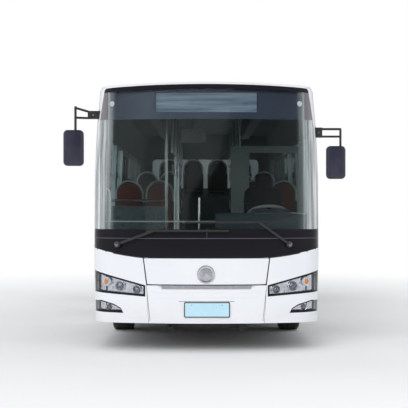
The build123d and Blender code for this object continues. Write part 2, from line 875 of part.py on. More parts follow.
def mirror_heads():
    y = mirror_y
    right = mirror_head((-1483, y, 2225), 224, 401, 110) - post((-1461, y, 2690), (-1461, y, 2390), 14)
    left = mirror_head((1444, y, 2063), 212, 368, 110) - mirror_bend()
    return Compound([right, left])


def roof_aircon():
    pod = Pos(0, 1200, roof_height + 60) * Box(1500, 2600, 230)
    pod = fillet(pod.edges().filter_by(Axis.Z), 160)
    pod = chamfer(pod.faces().sort_by(Axis.Z)[-1].edges(), 40)
    return pod - outer_skin


def roof_hatches():
    lids = []
    for y in (-2600, 3800):
        lid = Pos(0, y, roof_height) * Box(760, 620, 90)
        lids.append(fillet(lid.edges().filter_by(Axis.Z), 70) - outer_skin)
    return Compound(lids)


def write(name, shape):
    export_step(shape, f"parts/{name}.step")


os.makedirs("parts", exist_ok=True)
write("frame_rails_front", frame_rails_front())
write("frame_rails_rear", frame_rails_rear())
write("crossmembers", crossmembers())
write("floor_deck", floor_deck())
write("cab_floor", cab_floor())
write("wheel_housings", wheel_housings())
write("wall_left", wall_left())
write("wall_right", wall_right())
write("roof_panel", roof_panel())
write("rear_wall", rear_wall())
write("front_corner_left", front_corner_left())
write("front_corner_right", front_corner_right())
write("front_bumper", front_bumper())
write("front_hatch", front_hatch())
write("engine_door", engine_door())
write("windscreen", windscreen())
write("side_windows_left", side_windows_left())
write("side_windows_right", side_windows_right())
write("rear_window", rear_window())
write("front_lamps", lamp_bodies())
write("front_lamp_covers", lamp_covers())
write("rear_lamps", rear_lamps())
write("destination_sign", destination_sign())
write("dashboard", dashboard())
write("steering_column", steering_column())
write("driver_seat", driver_seat())
write("cab_partition", cab_partition())
write("door_screen", door_screen())
write("passenger_seats", passenger_seats())
write("handrails", handrails())
write("wipers", wipers())
write("mirror_arms", mirror_arms())
write("mirror_heads", mirror_heads())
write("roof_aircon", roof_aircon())
write("roof_hatches", roof_hatches())
write("engine_block", engine_block())
write("axle_front", axle_front())
write("axle_rear", axle_rear())
write("air_springs", air_springs())
write("knuckle_left", knuckle(1))
write("knuckle_right", knuckle(-1))
write("track_rod", track_rod())
for door, centre in (("front_door", front_door_y), ("middle_door", middle_door_y)):
    for place in ("fore", "aft"):
        write(f"{door}_{place}_leaf", leaf_frame_piece(centre, place == "fore"))
        write(f"{door}_{place}_glass", leaf_pane(centre, place == "fore"))
for name, side in (("left", 1), ("right", -1)):
    front_x = side * front_track / 2
    rear_outer = side * rear_track / 2
    rear_inner = side * (rear_track / 2 - twin_spacing)
    write(f"tyre_front_{name}", tyre(front_x, front_axle_y))
    write(f"rim_front_{name}", rim(front_x, front_axle_y, side, 90, 42))
    write(f"tyres_rear_{name}", Compound([tyre(rear_outer, rear_axle_y), tyre(rear_inner, rear_axle_y)]))
    write(f"rims_rear_{name}", twin_rims(rear_outer, rear_inner, side))
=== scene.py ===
import math
import bmesh
import bpy
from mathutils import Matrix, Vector
from mathutils.bvhtree import BVHTree


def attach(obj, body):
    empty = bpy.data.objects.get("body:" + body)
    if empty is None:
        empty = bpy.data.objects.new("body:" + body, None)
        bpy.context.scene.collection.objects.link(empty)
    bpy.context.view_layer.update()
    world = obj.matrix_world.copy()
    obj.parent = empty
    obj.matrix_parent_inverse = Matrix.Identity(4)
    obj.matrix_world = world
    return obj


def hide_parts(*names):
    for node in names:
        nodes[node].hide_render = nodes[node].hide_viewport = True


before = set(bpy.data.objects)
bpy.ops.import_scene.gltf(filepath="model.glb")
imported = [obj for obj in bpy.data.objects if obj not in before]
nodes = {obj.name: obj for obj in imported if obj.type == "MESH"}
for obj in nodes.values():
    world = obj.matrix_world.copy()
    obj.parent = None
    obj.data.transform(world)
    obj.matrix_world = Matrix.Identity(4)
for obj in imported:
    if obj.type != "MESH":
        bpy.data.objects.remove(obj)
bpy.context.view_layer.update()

# Airport passenger bus in metres: -Y is the front and +X the bus's left
print("frame loaded")

cameraValues = {"place": (-0.027, -19.25, 1.6), "lens": 114.4, "sensor": 36.0}


def placeCamera():
    data = bpy.data.cameras.new("photoCamera")
    data.lens = cameraValues["lens"]
    data.sensor_width = cameraValues["sensor"]
    data.clip_end = 500
    camera = bpy.data.objects.new("photoCamera", data)
    camera.location = cameraValues["place"]
    camera.rotation_euler = (math.pi / 2, 0, 0)
    bpy.context.scene.collection.objects.link(camera)
    bpy.context.scene.camera = camera


placeCamera()
bpy.context.scene.view_settings.view_transform = "Standard"
print("camera placed")


# Adds a shader node, with sockets or plain values for its inputs
def add(tree, kind, inputs=None, **settings):
    node = tree.nodes.new("ShaderNode" + kind)
    for key, value in settings.items():
        setattr(node, key, value)
    for key, value in (inputs or {}).items():
        if isinstance(value, bpy.types.NodeSocket):
            tree.links.new(value, node.inputs[key])
        else:
            node.inputs[key].default_value = value
    return node


def calc(tree, operation, a, b=0.0, clamp=False):
    return add(tree, "Math", {0: a, 1: b}, operation=operation, use_clamp=clamp).outputs[0]


def mixed(tree, factor, a, b):
    node = add(tree, "Mix", {"Factor": factor}, data_type="RGBA")
    for socket, value in ((node.inputs[6], a), (node.inputs[7], b)):
        if isinstance(value, bpy.types.NodeSocket):
            tree.links.new(value, socket)
        else:
            socket.default_value = value
    return node.outputs[2]


def ramp(tree, value, low, high, start=0.0, end=1.0):
    node = add(tree, "MapRange", {0: value, 1: low, 2: high, 3: start, 4: end})
    return node.outputs[0]


def newGroup(name, inputs, outputs):
    group = bpy.data.node_groups.new(name, "ShaderNodeTree")
    for label, kind, value in inputs:
        socket = group.interface.new_socket(name=label, in_out="INPUT", socket_type="NodeSocket" + kind)
        if value is not None:
            socket.default_value = value
    for label, kind in outputs:
        group.interface.new_socket(name=label, in_out="OUTPUT", socket_type="NodeSocket" + kind)
    entry = group.nodes.new("NodeGroupInput")
    leave = group.nodes.new("NodeGroupOutput")
    return group, entry.outputs, leave.inputs


def use(tree, group, **inputs):
    node = tree.nodes.new("ShaderNodeGroup")
    node.node_tree = group
    for key, value in inputs.items():
        if isinstance(value, bpy.types.NodeSocket):
            tree.links.new(value, node.inputs[key])
        else:
            node.inputs[key].default_value = value
    return node.outputs


# Two tones mixed by soft noise
def toneGroup():
    group, entry, leave = newGroup(
        "toneVariation",
        [("Point", "Vector", None), ("Scale", "Float", 20.0), ("Colour", "Color", None),
         ("Second", "Color", None), ("Amount", "Float", 1.0)],
        [("Colour", "Color"), ("Field", "Float")])
    noise = add(group, "TexNoise", {"Vector": entry["Point"], "Scale": entry["Scale"], "Detail": 5.0})
    field = ramp(group, noise.outputs[0], 0.35, 0.65)
    share = calc(group, "MULTIPLY", field, entry["Amount"])
    group.links.new(mixed(group, share, entry["Colour"], entry["Second"]), leave["Colour"])
    group.links.new(field, leave["Field"])
    return group


# Fine surface relief as a normal
def grainGroup():
    group, entry, leave = newGroup(
        "fineGrain",
        [("Point", "Vector", None), ("Scale", "Float", 200.0), ("Strength", "Float", 0.1),
         ("Depth", "Float", 0.001)],
        [("Normal", "Vector")])
    noise = add(group, "TexNoise", {"Vector": entry["Point"], "Scale": entry["Scale"], "Detail": 3.0})
    bump = add(group, "Bump", {"Strength": entry["Strength"], "Distance": entry["Depth"],
                               "Height": noise.outputs[0]})
    group.links.new(bump.outputs[0], leave["Normal"])
    return group


# 1 where a face of the body shell looks inwards
def insideGroup():
    group, entry, leave = newGroup(
        "insideFaces", [("Point", "Vector", None), ("Direction", "Vector", None)], [("Mask", "Float")])
    centred = add(group, "VectorMath", {0: entry["Point"], 1: (0.0, 0.0, -1.7)}, operation="ADD")
    dot = add(group, "VectorMath", {0: centred.outputs[0], 1: entry["Direction"]}, operation="DOT_PRODUCT")
    group.links.new(calc(group, "LESS_THAN", dot.outputs["Value"], -0.02), leave["Mask"])
    return group


# Woven threads in two directions
def weaveGroup():
    group, entry, leave = newGroup(
        "wovenCloth",
        [("Point", "Vector", None), ("Scale", "Float", 400.0), ("Strength", "Float", 0.3)],
        [("Normal", "Vector"), ("Field", "Float")])
    across = add(group, "TexWave", {"Vector": entry["Point"], "Scale": entry["Scale"]}, bands_direction="X")
    up = add(group, "TexWave", {"Vector": entry["Point"], "Scale": entry["Scale"]}, bands_direction="Z")
    field = calc(group, "MULTIPLY", across.outputs["Fac"], up.outputs["Fac"])
    bump = add(group, "Bump", {"Strength": entry["Strength"], "Distance": 0.0008, "Height": field})
    group.links.new(bump.outputs[0], leave["Normal"])
    group.links.new(field, leave["Field"])
    return group


toneVariation = toneGroup()
fineGrain = grainGroup()
insideFaces = insideGroup()
wovenCloth = weaveGroup()
finishes = {}


def rgb(colour):
    return (*colour, 1.0)


def emptyMaterial(name):
    made = bpy.data.materials.new(name)
    made.use_nodes = True
    tree = made.node_tree
    tree.nodes.clear()
    out = tree.nodes.new("ShaderNodeOutputMaterial")
    shader = tree.nodes.new("ShaderNodeBsdfPrincipled")
    tree.links.new(shader.outputs[0], out.inputs[0])
    finishes[name] = made
    return tree, shader, out


# An opaque finish: two tones, roughness that follows them, and fine relief
def surface(name, colour, second, rough, scale=20.0, amount=1.0, vary=0.08, metal=0.0, grain=200.0,
            relief=0.1, depth=0.001, coat=0.0, sheen=0.0, glow=0.0):
    tree, shader, _ = emptyMaterial(name)
    point = add(tree, "TexCoord").outputs["Object"]
    tone = use(tree, toneVariation, Point=point, Scale=scale, Colour=rgb(colour), Second=rgb(second),
               Amount=amount)
    normal = use(tree, fineGrain, Point=point, Scale=grain, Strength=relief, Depth=depth)["Normal"]
    tree.links.new(tone["Colour"], shader.inputs["Base Color"])
    tree.links.new(ramp(tree, tone["Field"], 0, 1, rough - vary, rough + vary), shader.inputs["Roughness"])
    tree.links.new(normal, shader.inputs["Normal"])
    shader.inputs["Metallic"].default_value = metal
    shader.inputs["Coat Weight"].default_value = coat
    shader.inputs["Coat Roughness"].default_value = 0.05
    shader.inputs["Sheen Weight"].default_value = sheen
    if glow:
        tree.links.new(tone["Colour"], shader.inputs["Emission Color"])
        shader.inputs["Emission Strength"].default_value = glow
    return tree, shader, tone


paintValues = {"white": (0.80, 0.81, 0.84), "shade": (0.76, 0.77, 0.81), "lining": (0.13, 0.15, 0.145),
               "liningSecond": (0.17, 0.19, 0.18), "lowDarkening": (0.45, 0.44, 0.42), "print": (0.012, 0.012, 0.015)}


# White enamel outside; grey trim panels inside, darkened as painted shade for the dim inside of the bus; and a
# mottled darker grey towards the bottom near the skirt
def bodyPaint():
    tree, shader, _ = emptyMaterial("bodyPaint")
    coords = add(tree, "TexCoord")
    point = coords.outputs["Object"]
    inside = use(tree, insideFaces, Point=point, Direction=coords.outputs["Normal"])["Mask"]
    outer = use(tree, toneVariation, Point=point, Scale=1.6, Colour=rgb(paintValues["white"]),
                Second=rgb(paintValues["shade"]), Amount=0.6)
    # Inside faces: trim panel colour darkened as painted shade
    trim = use(tree, toneVariation, Point=point, Scale=60.0, Colour=rgb(paintValues["lining"]),
               Second=rgb(paintValues["liningSecond"]), Amount=1.0)
    # Mottled darker grey towards the bottom of the body
    height = add(tree, "SeparateXYZ", {0: point}).outputs[2]
    low = ramp(tree, height, 0.30, 0.55, 0.30, 0.0)
    lowDarkening = calc(tree, "MULTIPLY", low, outer["Field"])
    enamel = mixed(tree, lowDarkening, outer["Colour"], rgb(paintValues["lowDarkening"]))
    tree.links.new(mixed(tree, inside, enamel, trim["Colour"]), shader.inputs["Base Color"])
    tree.links.new(ramp(tree, inside, 0, 1, 0.28, 0.65), shader.inputs["Roughness"])
    normal = use(tree, fineGrain, Point=point, Scale=3.0, Strength=0.03, Depth=0.01)["Normal"]
    tree.links.new(normal, shader.inputs["Normal"])
    shader.inputs["Coat Weight"].default_value = 0.35
    shader.inputs["Coat Roughness"].default_value = 0.04


# Thin clear or tinted glass that lets lamp light through, with printed black areas, and on the windscreen painted
# reflections, where a mask says
def glassFinish(name, tint, printAndReflection=None, index=1.3, inner=0.6):
    tree, shader, out = emptyMaterial(name)
    coords = add(tree, "TexCoord")
    point = coords.outputs["Object"]
    tone = use(tree, toneVariation, Point=point, Scale=2.0, Colour=rgb(tint),
               Second=rgb([c * 0.93 for c in tint]), Amount=1.0)
    colour = tone["Colour"]
    shader.inputs["IOR"].default_value = index
    path = add(tree, "LightPath").outputs
    passing = calc(tree, "MAXIMUM", path["Is Shadow Ray"], path["Is Diffuse Ray"])
    if printAndReflection:
        printAndReflectionMask, inkAndReflection = printAndReflection(tree, point, rgb(paintValues["print"]))
        colour = mixed(tree, printAndReflectionMask, colour, inkAndReflection)
        clear = calc(tree, "SUBTRACT", 1.0, printAndReflectionMask)
        tree.links.new(clear, shader.inputs["Transmission Weight"])
        tree.links.new(ramp(tree, printAndReflectionMask, 0, 1, 0.0, 0.12), shader.inputs["Roughness"])
        passing = calc(tree, "MULTIPLY", passing, clear)
    else:
        shader.inputs["Transmission Weight"].default_value = 1.0
        tree.links.new(ramp(tree, tone["Field"], 0, 1, 0.0, 0.01), shader.inputs["Roughness"])
    tree.links.new(colour, shader.inputs["Base Color"])
    dim = rgb([c * inner for c in tint])
    through = add(tree, "BsdfTransparent", {"Color": dim})
    blend = add(tree, "MixShader", {0: passing, 1: shader.outputs[0], 2: through.outputs[0]})
    tree.links.new(blend.outputs[0], out.inputs[0])


printAndReflectionValues = {"foot": 1.325, "line": 1.227, "lineHalf": 0.0035, "bow": 0.0288, "crown": 2.868, "band": 2.53,
               "bandSide": 1.085, "reflectionStart": 0.98, "reflectionEnd": 1.235}


# Print on the windscreen: black foot with a pale line, black top edge and slate band ends; over it, painted
# reflection: pale streaks on the corners and the band ends turning beige towards them
def screenPrintAndReflection(tree, point, black):
    v = printAndReflectionValues
    parts = add(tree, "SeparateXYZ", {0: point}).outputs
    side = calc(tree, "ABSOLUTE", parts[0])
    foot = calc(tree, "LESS_THAN", parts[2], v["foot"])
    crown = calc(tree, "ADD", parts[2], calc(tree, "MULTIPLY", calc(tree, "MULTIPLY", side, side), v["bow"]))
    top = calc(tree, "GREATER_THAN", crown, v["crown"])
    band = calc(tree, "MULTIPLY", calc(tree, "GREATER_THAN", parts[2], v["band"]),
                calc(tree, "GREATER_THAN", side, v["bandSide"]))
    away = calc(tree, "ABSOLUTE", calc(tree, "SUBTRACT", parts[2], v["line"]))
    line = calc(tree, "LESS_THAN", away, v["lineHalf"])
    squeezed = add(tree, "VectorMath", {0: point, 1: (34.0, 6.0, 0.55)}, operation="MULTIPLY")
    noise = add(tree, "TexNoise", {"Vector": squeezed.outputs[0], "Scale": 1.0, "Detail": 4.0})
    streak = ramp(tree, noise.outputs[0], 0.38, 0.62)
    # Painted reflection: pale streaks and beige band ends growing towards the corners of the glass
    reflectionCorner = add(tree, "MapRange", {0: side, 1: v["reflectionStart"], 2: v["reflectionEnd"]},
                 interpolation_type="SMOOTHSTEP").outputs[0]
    share = calc(tree, "MULTIPLY", reflectionCorner, ramp(tree, streak, 0, 1, 0.25, 0.95))
    share = calc(tree, "MULTIPLY", share, calc(tree, "SUBTRACT", 1.0, foot))
    paintedReflection = mixed(tree, streak, (0.40, 0.39, 0.42, 1.0), (0.80, 0.80, 0.82, 1.0))
    slateAndReflection = mixed(tree, reflectionCorner, (0.052, 0.064, 0.115, 1.0), (0.30, 0.27, 0.26, 1.0))
    inkAndReflection = mixed(tree, line, black, (0.10, 0.095, 0.13, 1.0))
    solid = calc(tree, "MAXIMUM", foot, top)
    inkAndReflection = mixed(tree, solid, mixed(tree, band, paintedReflection, slateAndReflection), inkAndReflection)
    printAndReflectionMask = calc(tree, "MAXIMUM", calc(tree, "MAXIMUM", solid, band), share)
    return printAndReflectionMask, inkAndReflection


# Black border of the headlamp and fog lamp covers, with the wrapped ends printed over
def coverPrint(tree, point, black):
    parts = add(tree, "SeparateXYZ", {0: point}).outputs
    side = calc(tree, "ABSOLUTE", parts[0])

    def above(x, z, slope):
        line = calc(tree, "ADD", z, calc(tree, "MULTIPLY", calc(tree, "SUBTRACT", side, x), slope))
        return calc(tree, "SUBTRACT", line, parts[2])

    out = calc(tree, "SUBTRACT", side, 0.665)
    foot = calc(tree, "MULTIPLY", above(0.665, 0.594, 0.0735), -1.0)
    near = calc(tree, "MINIMUM", calc(tree, "MINIMUM", above(0.665, 0.718, 0.268), foot), out)
    near = calc(tree, "MINIMUM", near, calc(tree, "SUBTRACT", 1.228, side))
    lamp = calc(tree, "LESS_THAN", near, 0.020)
    arch = calc(tree, "MINIMUM", above(0.905, 0.412, 1.8), above(0.935, 0.466, 0.573))
    arch = calc(tree, "SUBTRACT", calc(tree, "MINIMUM", arch, above(1.010, 0.509, 0.271)), 0.013)
    low = calc(tree, "SUBTRACT", parts[2], 0.443)
    edge = calc(tree, "MINIMUM", calc(tree, "MINIMUM", arch, low), calc(tree, "SUBTRACT", 1.214, side))
    fog = calc(tree, "LESS_THAN", edge, 0.0)
    return ramp(tree, calc(tree, "LESS_THAN", parts[2], 0.56), 0, 1, lamp, fog), black


# Blank sign face: pale blue-grey lamps in rows, streaked along its length
def signLamps():
    tree, shader, _ = surface("signFace", (0.13, 0.18, 0.25), (0.24, 0.30, 0.37), 0.35, 4, relief=0.0)
    point = add(tree, "TexCoord").outputs["Object"]
    flat = add(tree, "VectorMath", {0: point, 1: (1.4, 1.0, 26.0)}, operation="MULTIPLY")
    noise = add(tree, "TexNoise", {"Vector": flat.outputs[0], "Scale": 1.0, "Detail": 5.0})
    streak = ramp(tree, noise.outputs[0], 0.36, 0.64)
    dots = add(tree, "TexVoronoi", {"Vector": point, "Scale": 90.0, "Randomness": 0.0}).outputs[0]
    lamp = ramp(tree, dots, 0.2, 0.6, 1.0, 0.8)
    colour = mixed(tree, streak, (0.12, 0.165, 0.24, 1.0), (0.32, 0.39, 0.47, 1.0))
    colour = mixed(tree, lamp, (0.09, 0.12, 0.17, 1.0), colour)
    for socket in ("Base Color", "Emission Color"):
        tree.links.new(colour, shader.inputs[socket])
    shader.inputs["Emission Strength"].default_value = 0.35


# Woven seat cloth: red-brown at the front of the bus and dark towards the back
def passengerCloth():
    tree, shader, _ = emptyMaterial("passengerCloth")
    point = add(tree, "TexCoord").outputs["Object"]
    front = use(tree, toneVariation, Point=point, Scale=120.0, Colour=(0.150, 0.026, 0.018, 1.0),
                Second=(0.190, 0.038, 0.026, 1.0), Amount=1.0)
    rear = use(tree, toneVariation, Point=point, Scale=120.0, Colour=(0.016, 0.018, 0.019, 1.0),
               Second=(0.026, 0.028, 0.030, 1.0), Amount=1.0)
    weave = use(tree, wovenCloth, Point=point, Scale=220.0, Strength=0.25)
    behind = calc(tree, "GREATER_THAN", add(tree, "SeparateXYZ", {0: point}).outputs[1], 0.0)
    colour = mixed(tree, behind, front["Colour"], rear["Colour"])
    tree.links.new(colour, shader.inputs["Base Color"])
    tree.links.new(weave["Normal"], shader.inputs["Normal"])
    tree.links.new(ramp(tree, weave["Field"], 0, 1, 0.78, 0.9), shader.inputs["Roughness"])
    shader.inputs["Sheen Weight"].default_value = 0.12


bodyPaint()
glassFinish("screenGlass", (0.84, 0.90, 0.90), screenPrintAndReflection, 1.2)
glassFinish("windowGlass", (0.50, 0.57, 0.57), None, 1.3, inner=1.0)
glassFinish("lampGlass", (0.97, 0.98, 1.0), coverPrint, 1.25, inner=0.97)
surface("blackPlastic", (0.016, 0.016, 0.019), (0.028, 0.028, 0.032), 0.42, 40)
surface("mirrorPlastic", (0.016, 0.016, 0.036), (0.024, 0.024, 0.048), 0.36, 6, relief=0.02, coat=0.15)
surface("blackRubber", (0.012, 0.012, 0.013), (0.022, 0.022, 0.022), 0.6, 60, relief=0.2)
surface("tyreRubber", (0.018, 0.018, 0.018), (0.035, 0.034, 0.032), 0.75, 9, relief=0.35, grain=500)
surface("rimSteel", (0.52, 0.53, 0.54), (0.42, 0.43, 0.44), 0.36, 14, metal=0.7)
surface("chassisPaint", (0.02, 0.02, 0.022), (0.05, 0.045, 0.04), 0.55, 8, relief=0.3)
surface("axlePaint", (0.03, 0.03, 0.03), (0.07, 0.06, 0.05), 0.5, 12, relief=0.3)
surface("castMetal", (0.20, 0.20, 0.20), (0.12, 0.12, 0.12), 0.5, 18, metal=0.6, relief=0.4)
surface("airconShell", (0.72, 0.73, 0.75), (0.66, 0.67, 0.69), 0.4, 5, grain=300)
surface("dashPlastic", (0.045, 0.058, 0.068), (0.06, 0.074, 0.085), 0.6, 90, relief=0.35, grain=900)
surface("floorVinyl", (0.10, 0.105, 0.11), (0.16, 0.165, 0.17), 0.5, 900, amount=0.8, relief=0.2)
surface("railSteel", (0.62, 0.63, 0.64), (0.52, 0.53, 0.54), 0.22, 30, metal=1.0, vary=0.05)
surface("headerBoard", (0.046, 0.058, 0.110), (0.056, 0.068, 0.120), 0.5, 2, relief=0.0)
surface("screenPanel", (0.10, 0.14, 0.15), (0.13, 0.17, 0.18), 0.35, 25)
surface("partitionTrim", (0.22, 0.24, 0.235), (0.26, 0.28, 0.27), 0.5, 60)
surface("lampChrome", (0.70, 0.71, 0.74), (0.55, 0.56, 0.60), 0.14, 25, metal=0.9, vary=0.04)
surface("rearLampRed", (0.35, 0.01, 0.01), (0.26, 0.008, 0.01), 0.2, 60, coat=0.6)
surface("seatShell", (0.05, 0.053, 0.058), (0.07, 0.073, 0.078), 0.5, 60, relief=0.3, grain=600)
surface("whitePaint", (0.80, 0.81, 0.84), (0.76, 0.77, 0.81), 0.3, 1.6, amount=0.6, coat=0.35, relief=0.03,
        grain=3.0)
surface("seamGrey", (0.20, 0.20, 0.22), (0.26, 0.26, 0.28), 0.6, 30)
surface("greyPlastic", (0.13, 0.14, 0.15), (0.17, 0.18, 0.19), 0.5, 60)
surface("paleHandle", (0.55, 0.57, 0.58), (0.46, 0.48, 0.49), 0.35, 40)
surface("amberLens", (0.80, 0.23, 0.02), (0.62, 0.16, 0.01), 0.12, 90, coat=0.7)
surface("darkLens", (0.10, 0.10, 0.12), (0.22, 0.22, 0.25), 0.1, 60, metal=0.8, coat=0.8, vary=0.03)
surface("badgeFace", (0.62, 0.62, 0.64), (0.48, 0.48, 0.51), 0.24, 30, metal=0.75, vary=0.05, relief=0.0)
surface("plateBlue", (0.50, 0.74, 0.84), (0.46, 0.71, 0.82), 0.35, 15, relief=0.05)
surface("mirrorGlass", (0.75, 0.77, 0.80), (0.72, 0.74, 0.77), 0.03, 12, metal=1.0, vary=0.01, relief=0.01)
signLamps()
surface("whiteLamp", (0.85, 0.86, 0.88), (0.75, 0.77, 0.80), 0.2, 90, coat=0.5, glow=0.35)
surface("frostedPanel", (0.10, 0.11, 0.11), (0.085, 0.09, 0.09), 0.5, 60)
surface("screenBlack", (0.012, 0.014, 0.014), (0.02, 0.023, 0.023), 0.35, 20)
# Grey for painted shade in the grip recess under the flap and painted reflection on the steering wheel rim
surface("paintedShadeAndReflection", (0.30, 0.30, 0.33), (0.36, 0.36, 0.39), 0.5, 30)
surface("driverCloth", (0.010, 0.010, 0.012), (0.016, 0.016, 0.019), 0.85, 140, relief=0.03, sheen=0.1)
passengerCloth()
glassFinish("partitionGlass", (0.72, 0.76, 0.76))
print("finishes made")

nodeFinishes = {
    "bodyPaint": ["wall_left", "wall_right", "roof_panel", "rear_wall", "front_corner_left",
                  "front_corner_right", "front_bumper", "front_hatch", "engine_door"],
    "screenGlass": ["windscreen"],
    "windowGlass": ["side_windows_left", "side_windows_right", "rear_window", "front_door_fore_glass",
                    "front_door_aft_glass", "middle_door_fore_glass", "middle_door_aft_glass"],
    "lampGlass": ["front_lamp_covers"],
    "lampChrome": ["front_lamps"],
    "rearLampRed": ["rear_lamps"],
    "headerBoard": ["destination_sign"],
    "dashPlastic": ["dashboard"],
    "blackPlastic": ["steering_column", "wipers", "front_door_fore_leaf", "front_door_aft_leaf",
                     "middle_door_fore_leaf", "middle_door_aft_leaf", "mirror_arms"],
    "mirrorPlastic": ["mirror_heads"],
    "partitionTrim": ["cab_partition"],
    "screenPanel": ["door_screen"],
    "seatShell": ["passenger_seats", "driver_seat"],
    "railSteel": ["handrails"],
    "floorVinyl": ["floor_deck", "cab_floor", "wheel_housings"],
    "chassisPaint": ["frame_rails_front", "frame_rails_rear", "crossmembers"],
    "axlePaint": ["axle_front", "axle_rear", "knuckle_left", "knuckle_right", "track_rod"],
    "castMetal": ["engine_block"],
    "blackRubber": ["air_springs"],
    "tyreRubber": ["tyre_front_left", "tyre_front_right", "tyres_rear_left", "tyres_rear_right"],
    "rimSteel": ["rim_front_left", "rim_front_right", "rims_rear_left", "rims_rear_right"],
    "airconShell": ["roof_aircon", "roof_hatches"],
}


def setFinish(thing, name):
    thing.data.materials.clear()
    thing.data.materials.append(finishes[name])


for finish, names in nodeFinishes.items():
    for name in names:
        setFinish(nodes[name], finish)
print("nodes finished")

worldValues = {"light": 0.78, "background": 1.0, "sun": 1.25, "elevation": 30, "turn": -16,
               "softness": 50, "ahead": 0.22}


def lightWorld():
    world = bpy.data.worlds.new("studioWorld")
    bpy.context.scene.world = world
    world.use_nodes = True
    tree = world.node_tree
    tree.nodes.clear()
    path = add(tree, "LightPath").outputs
    seen = calc(tree, "MAXIMUM", path["Is Camera Ray"],
                calc(tree, "MAXIMUM", path["Is Glossy Ray"], path["Is Transmission Ray"]))
    light = add(tree, "Background", {"Color": (0.96, 0.98, 1.0, 1.0), "Strength": worldValues["light"]})
    aside = add(tree, "SeparateXYZ", {0: add(tree, "TexCoord").outputs["Generated"]}).outputs
    turn = add(tree, "MapRange", {0: calc(tree, "ABSOLUTE", aside[0]), 1: 0.25, 2: 0.80, 3: worldValues["ahead"],
                                  4: 1.0}, interpolation_type="SMOOTHSTEP").outputs[0]
    mirrored = calc(tree, "MAXIMUM", turn, calc(tree, "SUBTRACT", 1.0, path["Is Glossy Ray"]))
    strength = calc(tree, "MULTIPLY", mirrored, worldValues["background"])
    white = add(tree, "Background", {"Color": (1.0, 1.0, 1.0, 1.0), "Strength": strength})
    both = add(tree, "MixShader", {0: seen, 1: light.outputs[0], 2: white.outputs[0]})
    out = add(tree, "OutputWorld")
    tree.links.new(both.outputs[0], out.inputs[0])
    data = bpy.data.lights.new("softKey", "SUN")
    data.energy = worldValues["sun"]
    data.angle = math.radians(worldValues["softness"])
    lamp = bpy.data.objects.new("softKey", data)
    lamp.rotation_euler = (math.radians(90 - worldValues["elevation"]), 0, math.radians(worldValues["turn"]))
    lamp.visible_glossy = False
    bpy.context.scene.collection.objects.link(lamp)


def newMesh(name, verts, faces, finish, body=None):
    mesh = bpy.data.meshes.new(name)
    mesh.from_pydata([tuple(v) for v in verts], [], faces)
    mesh.update()
    thing = bpy.data.objects.new(name, mesh)
    bpy.context.scene.collection.objects.link(thing)
    setFinish(thing, finish)
    if body:
        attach(thing, body)
    return thing


floorValues = {"near": 0.8, "far": 8.5, "colour": (0.93, 0.93, 0.93), "second": (0.95, 0.95, 0.95)}


# Pale floor that keeps the shadow near the bus and turns into the white background further out
def layFloor():
    v = floorValues
    tree, shader, _ = surface("paleFloor", v["colour"], v["second"], 0.9, 0.5, relief=0.0)
    out = next(node for node in tree.nodes if node.type == "OUTPUT_MATERIAL")
    parts = add(tree, "SeparateXYZ", {0: add(tree, "TexCoord").outputs["Object"]}).outputs
    along = calc(tree, "MAXIMUM", calc(tree, "SUBTRACT", calc(tree, "ABSOLUTE", parts[1]), 4.2), 0.0)
    across = calc(tree, "MAXIMUM", calc(tree, "SUBTRACT", calc(tree, "ABSOLUTE", parts[0]), 0.5), 0.0)
    away = calc(tree, "SQRT", calc(tree, "ADD", calc(tree, "MULTIPLY", along, along),
                                   calc(tree, "MULTIPLY", across, across)))
    fade = add(tree, "MapRange", {0: away, 1: v["near"], 2: v["far"], 3: 0.0, 4: 1.0},
               interpolation_type="SMOOTHERSTEP").outputs[0]
    seen = calc(tree, "MULTIPLY", fade, add(tree, "LightPath").outputs["Is Camera Ray"])
    white = add(tree, "Emission", {"Color": (1.0, 1.0, 1.0, 1.0), "Strength": 1.0})
    both = add(tree, "MixShader", {0: seen, 1: shader.outputs[0], 2: white.outputs[0]})
    tree.links.new(both.outputs[0], out.inputs[0])
    floor = newMesh("floor", [(-90, -60, 0), (90, -60, 0), (90, 120, 0), (-90, 120, 0)], [(0, 1, 2, 3)],
                    "paleFloor")


lightWorld()
layFloor()
print("stage set")


nodeBodies = {"front_hatch": "front_flap", "engine_door": "engine_lid"}
for door in ("front_door", "middle_door"):
    for half in ("fore", "aft"):
        for kind in ("leaf", "glass"):
            nodeBodies[f"{door}_{half}_{kind}"] = f"{door}_{half}"


# How deep a ray may go before it counts as lost in a gap, and how far aside it is asked again
skinValues = {"front": -4.6, "rear": -4.7, "side": -1.1, "top": -2.5, "aside": 0.007}


